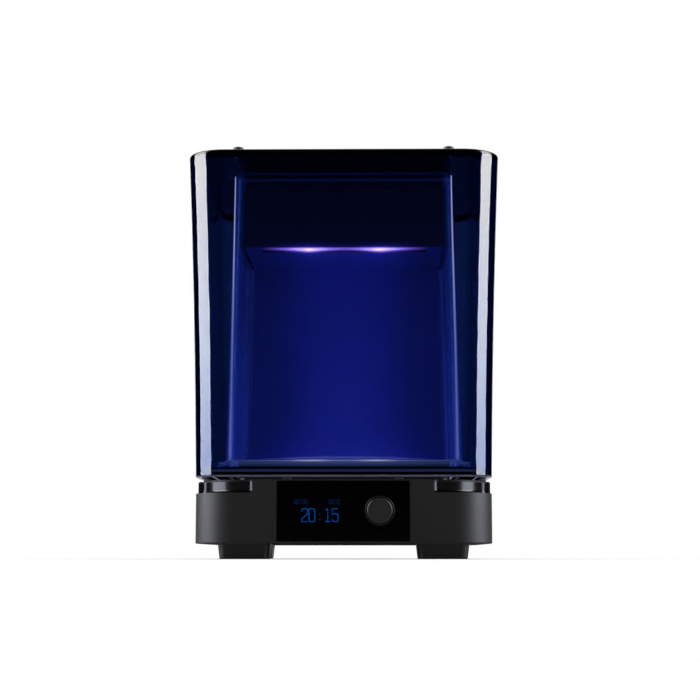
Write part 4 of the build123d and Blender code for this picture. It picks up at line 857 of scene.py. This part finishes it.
def make_lamps():
    """Two tall side lamps for the bands on the corners, a plain soft lamp, and the unit's own light."""
    middle = Vector((0, 0, (OBJECT_LOW.z + OBJECT_HIGH.z) / 2))
    for side, name, along, width in SIDE_LAMPS:
        spot = (side * SIDE_LAMP_DISTANCE, along, middle.z)
        grade_lamp(area_lamp(f"side_lamp_{name}", spot, (0, along, middle.z), (width, SIDE_LAMP_HEIGHT),
                             SIDE_LAMP_POWER * width, visible_diffuse=False, visible_transmission=True))
    area_lamp("soft_lamp", SOFT_LAMP_PLACE, middle, SOFT_LAMP_SIZE, SOFT_LAMP_POWER, visible_glossy=False)
    aim = Vector((0, LENS_CENTRE.y + CURING_LAMP_AIM, DECK_TOP))
    for side, name in ((-1, "left"), (1, "right")):
        spot = (side * LAMP_X, LENS_CENTRE.y, LENS_LOW.z - CURING_LAMP_GAP)
        area_lamp(f"curing_lamp_{name}", spot, aim, CURING_LAMP_SIZE, CURING_LAMP_POWER, CURING_LAMP_BLUE)


# ---------------------------------------------------------------- world and floor
WORLD_AMBIENT = 0.55
BACKDROP_HALF_WIDTH = 0.42
FLOOR_HALF = 6.0
FLOOR_DROP = 0.0002
FLOOR_GREY = (0.85, 0.85, 0.85, 1)
# light that the camera sees on the floor besides the lamps' own, near the object and far from it
FLOOR_LIFT = 0.42
FLOOR_FAR_LIFT = 0.60
FLOOR_DISTANCES = (0.3, 1.0)


def make_world():
    """White where the camera or a clear wall sees it; gloss sees a white backdrop of limited width.

    Other gloss sees a dark room, and diffuse surfaces take a plain ambient light.
    """
    world = bpy.data.worlds.new("studio")
    bpy.context.scene.world = world
    world.use_nodes = True
    tree = world.node_tree
    camera, transmission, glossy, diffuse = ray_kinds(
        tree, "Is Camera Ray", "Is Transmission Ray", "Is Glossy Ray", "Is Diffuse Ray")
    across, along, _ = split(tree, node(tree, "ShaderNodeTexCoord").outputs["Generated"])
    backdrop = (compute("LESS_THAN", abs(across), BACKDROP_HALF_WIDTH)
                * compute("GREATER_THAN", along, 0.0))
    white = compute("MAXIMUM", compute("MAXIMUM", camera, transmission), glossy * backdrop)
    total = compute("MAXIMUM", white, diffuse * WORLD_AMBIENT)
    background = tree.nodes["Background"]
    background.inputs["Color"].default_value = (1, 1, 1, 1)
    tree.links.new(total.socket, background.inputs["Strength"])


def make_floor():
    """A pale floor that keeps the object's shadow and is white elsewhere."""
    material = new_material("floor", {"Base Color": FLOOR_GREY, "Roughness": 0.9, "Specular IOR Level": 0.0,
                                      "Emission Color": (1, 1, 1, 1)})
    tree = material.node_tree
    camera, transmission = ray_kinds(tree, "Is Camera Ray", "Is Transmission Ray")
    x, y, _ = place(tree)
    away = compute("SQRT", x * x + y * y)
    lift = rise(away, FLOOR_DISTANCES) * (FLOOR_FAR_LIFT - FLOOR_LIFT) + FLOOR_LIFT
    seen = compute("MAXIMUM", camera, transmission)
    tree.links.new((seen * lift).socket, shader_of(material).inputs["Emission Strength"])
    data = bpy.data.meshes.new("floor")
    half = FLOOR_HALF
    data.from_pydata([(-half, -half, 0), (half, -half, 0), (half, half, 0), (-half, half, 0)],
                     [], [(0, 1, 2, 3)])
    data.materials.append(material)
    floor = bpy.data.objects.new("floor", data)
    floor.location.z = -FLOOR_DROP
    bpy.context.scene.collection.objects.link(floor)


# ---------------------------------------------------------------- all together
bpy.context.scene.view_settings.view_transform = "Standard"
make_camera()
dress_nodes(make_materials())
make_display()
make_lamps()
make_world()
make_floor()

bpy.context.view_layer.update()
